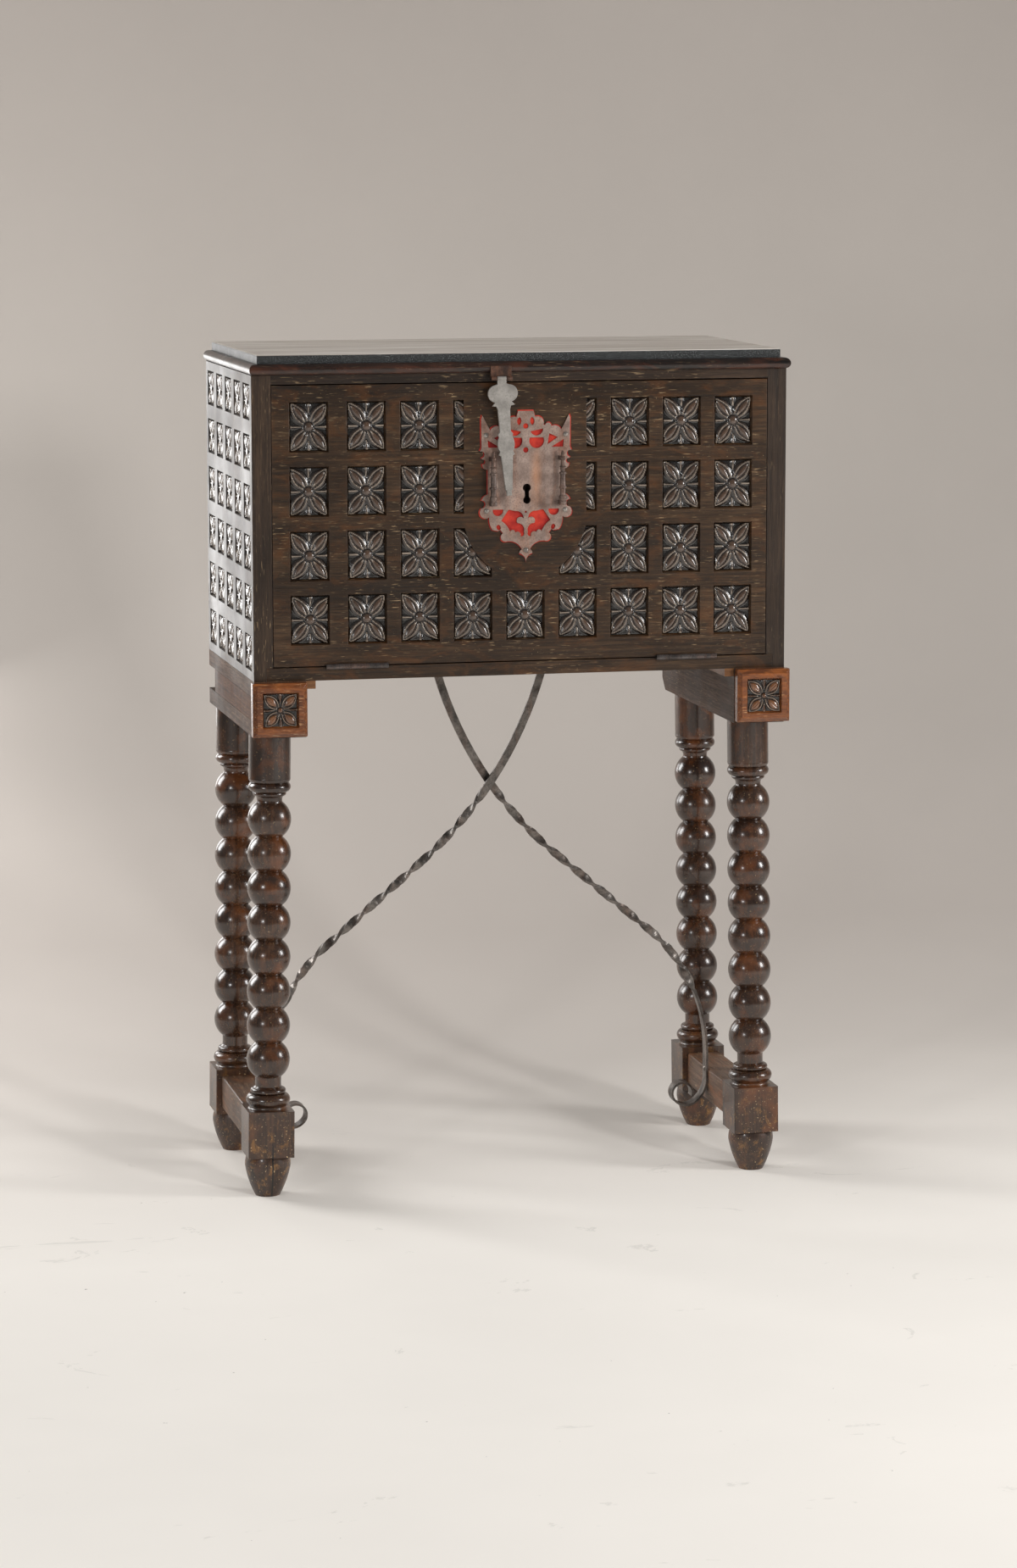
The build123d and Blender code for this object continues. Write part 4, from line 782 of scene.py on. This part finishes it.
def dress_iron():
    """Lock plate, hasp, hinges, stays and the velvet."""
    plate = iron("plate_iron", srgb(104, 86, 78), srgb(158, 138, 127), rust=0.35, rough=0.5, metallic=0.2,
                 streak_x=LOCK_X * MM + STREAK_FROM_LOCK)
    leaf_iron = iron("leaf_iron", srgb(46, 32, 27), srgb(84, 62, 52), rust=0.3, rough=0.5, metallic=0.25)
    hasp = iron("hasp_iron", srgb(118, 114, 109), srgb(156, 151, 145), rough=0.5, metallic=0.25)
    # painted shade: the columns' iron is darker than the plate's, standing in for the shadows that outline
    # them
    column = iron("column_iron_painted_shade", srgb(58, 48, 44), srgb(118, 102, 94), rust=0.3, rough=0.38, metallic=0.35)
    dark = iron("dark_iron", srgb(52, 47, 45), srgb(100, 94, 92), rust=0.25, rough=0.36, metallic=0.6)
    stay = iron("stay_iron", srgb(58, 54, 51), srgb(134, 127, 121), rust=0.15, rough=0.34, metallic=0.6)
    nail = iron("nail_iron", srgb(110, 102, 96), srgb(176, 168, 160), rough=0.28, metallic=0.6)
    dress(["lock_plate"], plate)
    dress(["hasp_leaf"], leaf_iron)
    dress(["hasp"], hasp)
    dress(["lock_columns"], column)
    dress(["hinge_leaves_fixed", "hinge_leaves_moving", "hinge_pins", "hasp_staple", "lock_case",
           "lock_bolt"], dark)
    dress(["stay_front", "stay_rear"], stay)
    dress(["plate_nails", "stay_nails"], nail)
    dress(["velvet_backing"], velvet_cloth())


def soften_edges():
    """Rounded edges, in millimetres; the legs are turned and need none."""
    soften(["fall_front", "side_left", "side_right", "floor_board", "top_rail"], 0.5)
    soften(["loper_block_left", "loper_block_right", "stretcher_left", "stretcher_right"], 0.9)
    soften(["bearer_board_left", "bearer_board_right", "bearer_strips", "loper_slide_left",
            "loper_slide_right", "nest_partitions", "bank_shelves", "niche_arch", "niche_shelf"], 0.6)
    soften(["hasp", "hasp_leaf"], 0.35)
    soften(["lock_plate"], 0.25)


# ---- studio ----

def studio():
    """Pale floor that curves up into a plain wall."""
    bend = WALL_Y - BEND_START
    profile = [(FLOOR_NEAR, 0.0)]
    for step in range(BEND_STEPS + 1):
        angle = math.pi / 2 * step / BEND_STEPS
        profile.append((BEND_START + bend * math.sin(angle), bend - bend * math.cos(angle)))
    profile.append((WALL_Y, WALL_HEIGHT))
    points = [(x, y, z) for y, z in profile for x in (-STAGE_HALF_WIDTH, STAGE_HALF_WIDTH)]
    faces = [(2 * i, 2 * i + 1, 2 * i + 3, 2 * i + 2) for i in range(len(profile) - 1)]
    mesh = bpy.data.meshes.new("studio")
    mesh.from_pydata(points, [], faces)
    mesh.polygons.foreach_set("use_smooth", [True] * len(mesh.polygons))
    mesh.materials.append(stage_paint())
    stage = bpy.data.objects.new("studio", mesh)
    bpy.context.scene.collection.objects.link(stage)


def area_light(name, place, target, width, height, power, glossy=True):
    """Rectangular soft light that faces a target."""
    lamp = bpy.data.lights.new(name, "AREA")
    lamp.shape = "RECTANGLE"
    lamp.size = width
    lamp.size_y = height
    lamp.energy = power
    holder = bpy.data.objects.new(name, lamp)
    holder.location = place
    direction = Vector(target) - Vector(place)
    holder.rotation_euler = direction.to_track_quat("-Z", "Y").to_euler()
    holder.visible_glossy = glossy
    bpy.context.scene.collection.objects.link(holder)


def lights():
    """Key from the front right, soft boxes at both sides, light as from the wall, and an overhead."""
    case = (0.0, -0.1, 1.0)
    legs = (0.0, 0.0, 0.6)
    area_light("key_front", (2.35, -5.2, 1.95), case, 0.55, 0.55, 142, glossy=False)
    area_light("box_right", (2.7, -1.45, 1.45), (0.0, -0.1, 0.8), 0.6, 0.9, 42)
    area_light("small_left", (-2.9, -3.0, 1.3), legs, 0.3, 0.3, 22)
    area_light("broad_left", (-2.1, 1.4, 1.5), legs, 1.0, 1.3, 46)
    area_light("wall_glow", (-0.89, 1.85, 0.85), (-0.4, 0.0, 1.0), 0.6, 0.8, 6)
    area_light("overhead", (0.2, -2.6, 4.6), (0.1, -1.2, 0.0), 3.0, 3.0, 62, glossy=False)
    world = bpy.data.worlds.new("studio_world")
    world.use_nodes = True
    background = world.node_tree.nodes["Background"]
    background.inputs["Color"].default_value = (1.0, 0.99, 0.97, 1.0)
    background.inputs["Strength"].default_value = WORLD_STRENGTH
    bpy.context.scene.world = world


def camera():
    """Camera at the photograph's viewing angle."""
    forward = Vector((
        math.sin(CAMERA_YAW) * math.cos(CAMERA_PITCH),
        math.cos(CAMERA_YAW) * math.cos(CAMERA_PITCH),
        math.sin(CAMERA_PITCH),
    ))
    level = Vector((math.cos(CAMERA_YAW), -math.sin(CAMERA_YAW), 0.0))
    upright = level.cross(forward)
    right = level * math.cos(CAMERA_ROLL) + upright * math.sin(CAMERA_ROLL)
    up = upright * math.cos(CAMERA_ROLL) - level * math.sin(CAMERA_ROLL)
    turn = Matrix((right, up, -forward)).transposed()
    lens = bpy.data.cameras.new("camera")
    lens.sensor_fit = "VERTICAL"
    lens.sensor_height = SENSOR_HEIGHT
    lens.sensor_width = SENSOR_HEIGHT * PHOTO_WIDTH / PHOTO_HEIGHT
    lens.lens = FOCAL_PIXELS / PHOTO_HEIGHT * SENSOR_HEIGHT
    lens.clip_end = CLIP_END
    holder = bpy.data.objects.new("camera", lens)
    holder.matrix_world = Matrix.Translation(CAMERA_PLACE) @ turn.to_4x4()
    bpy.context.scene.collection.objects.link(holder)
    bpy.context.scene.camera = holder


dress_case()
dress_interior()
dress_stand()
dress_iron()
soften_edges()
studio()
lights()
camera()
bpy.context.scene.view_settings.view_transform = "Standard"
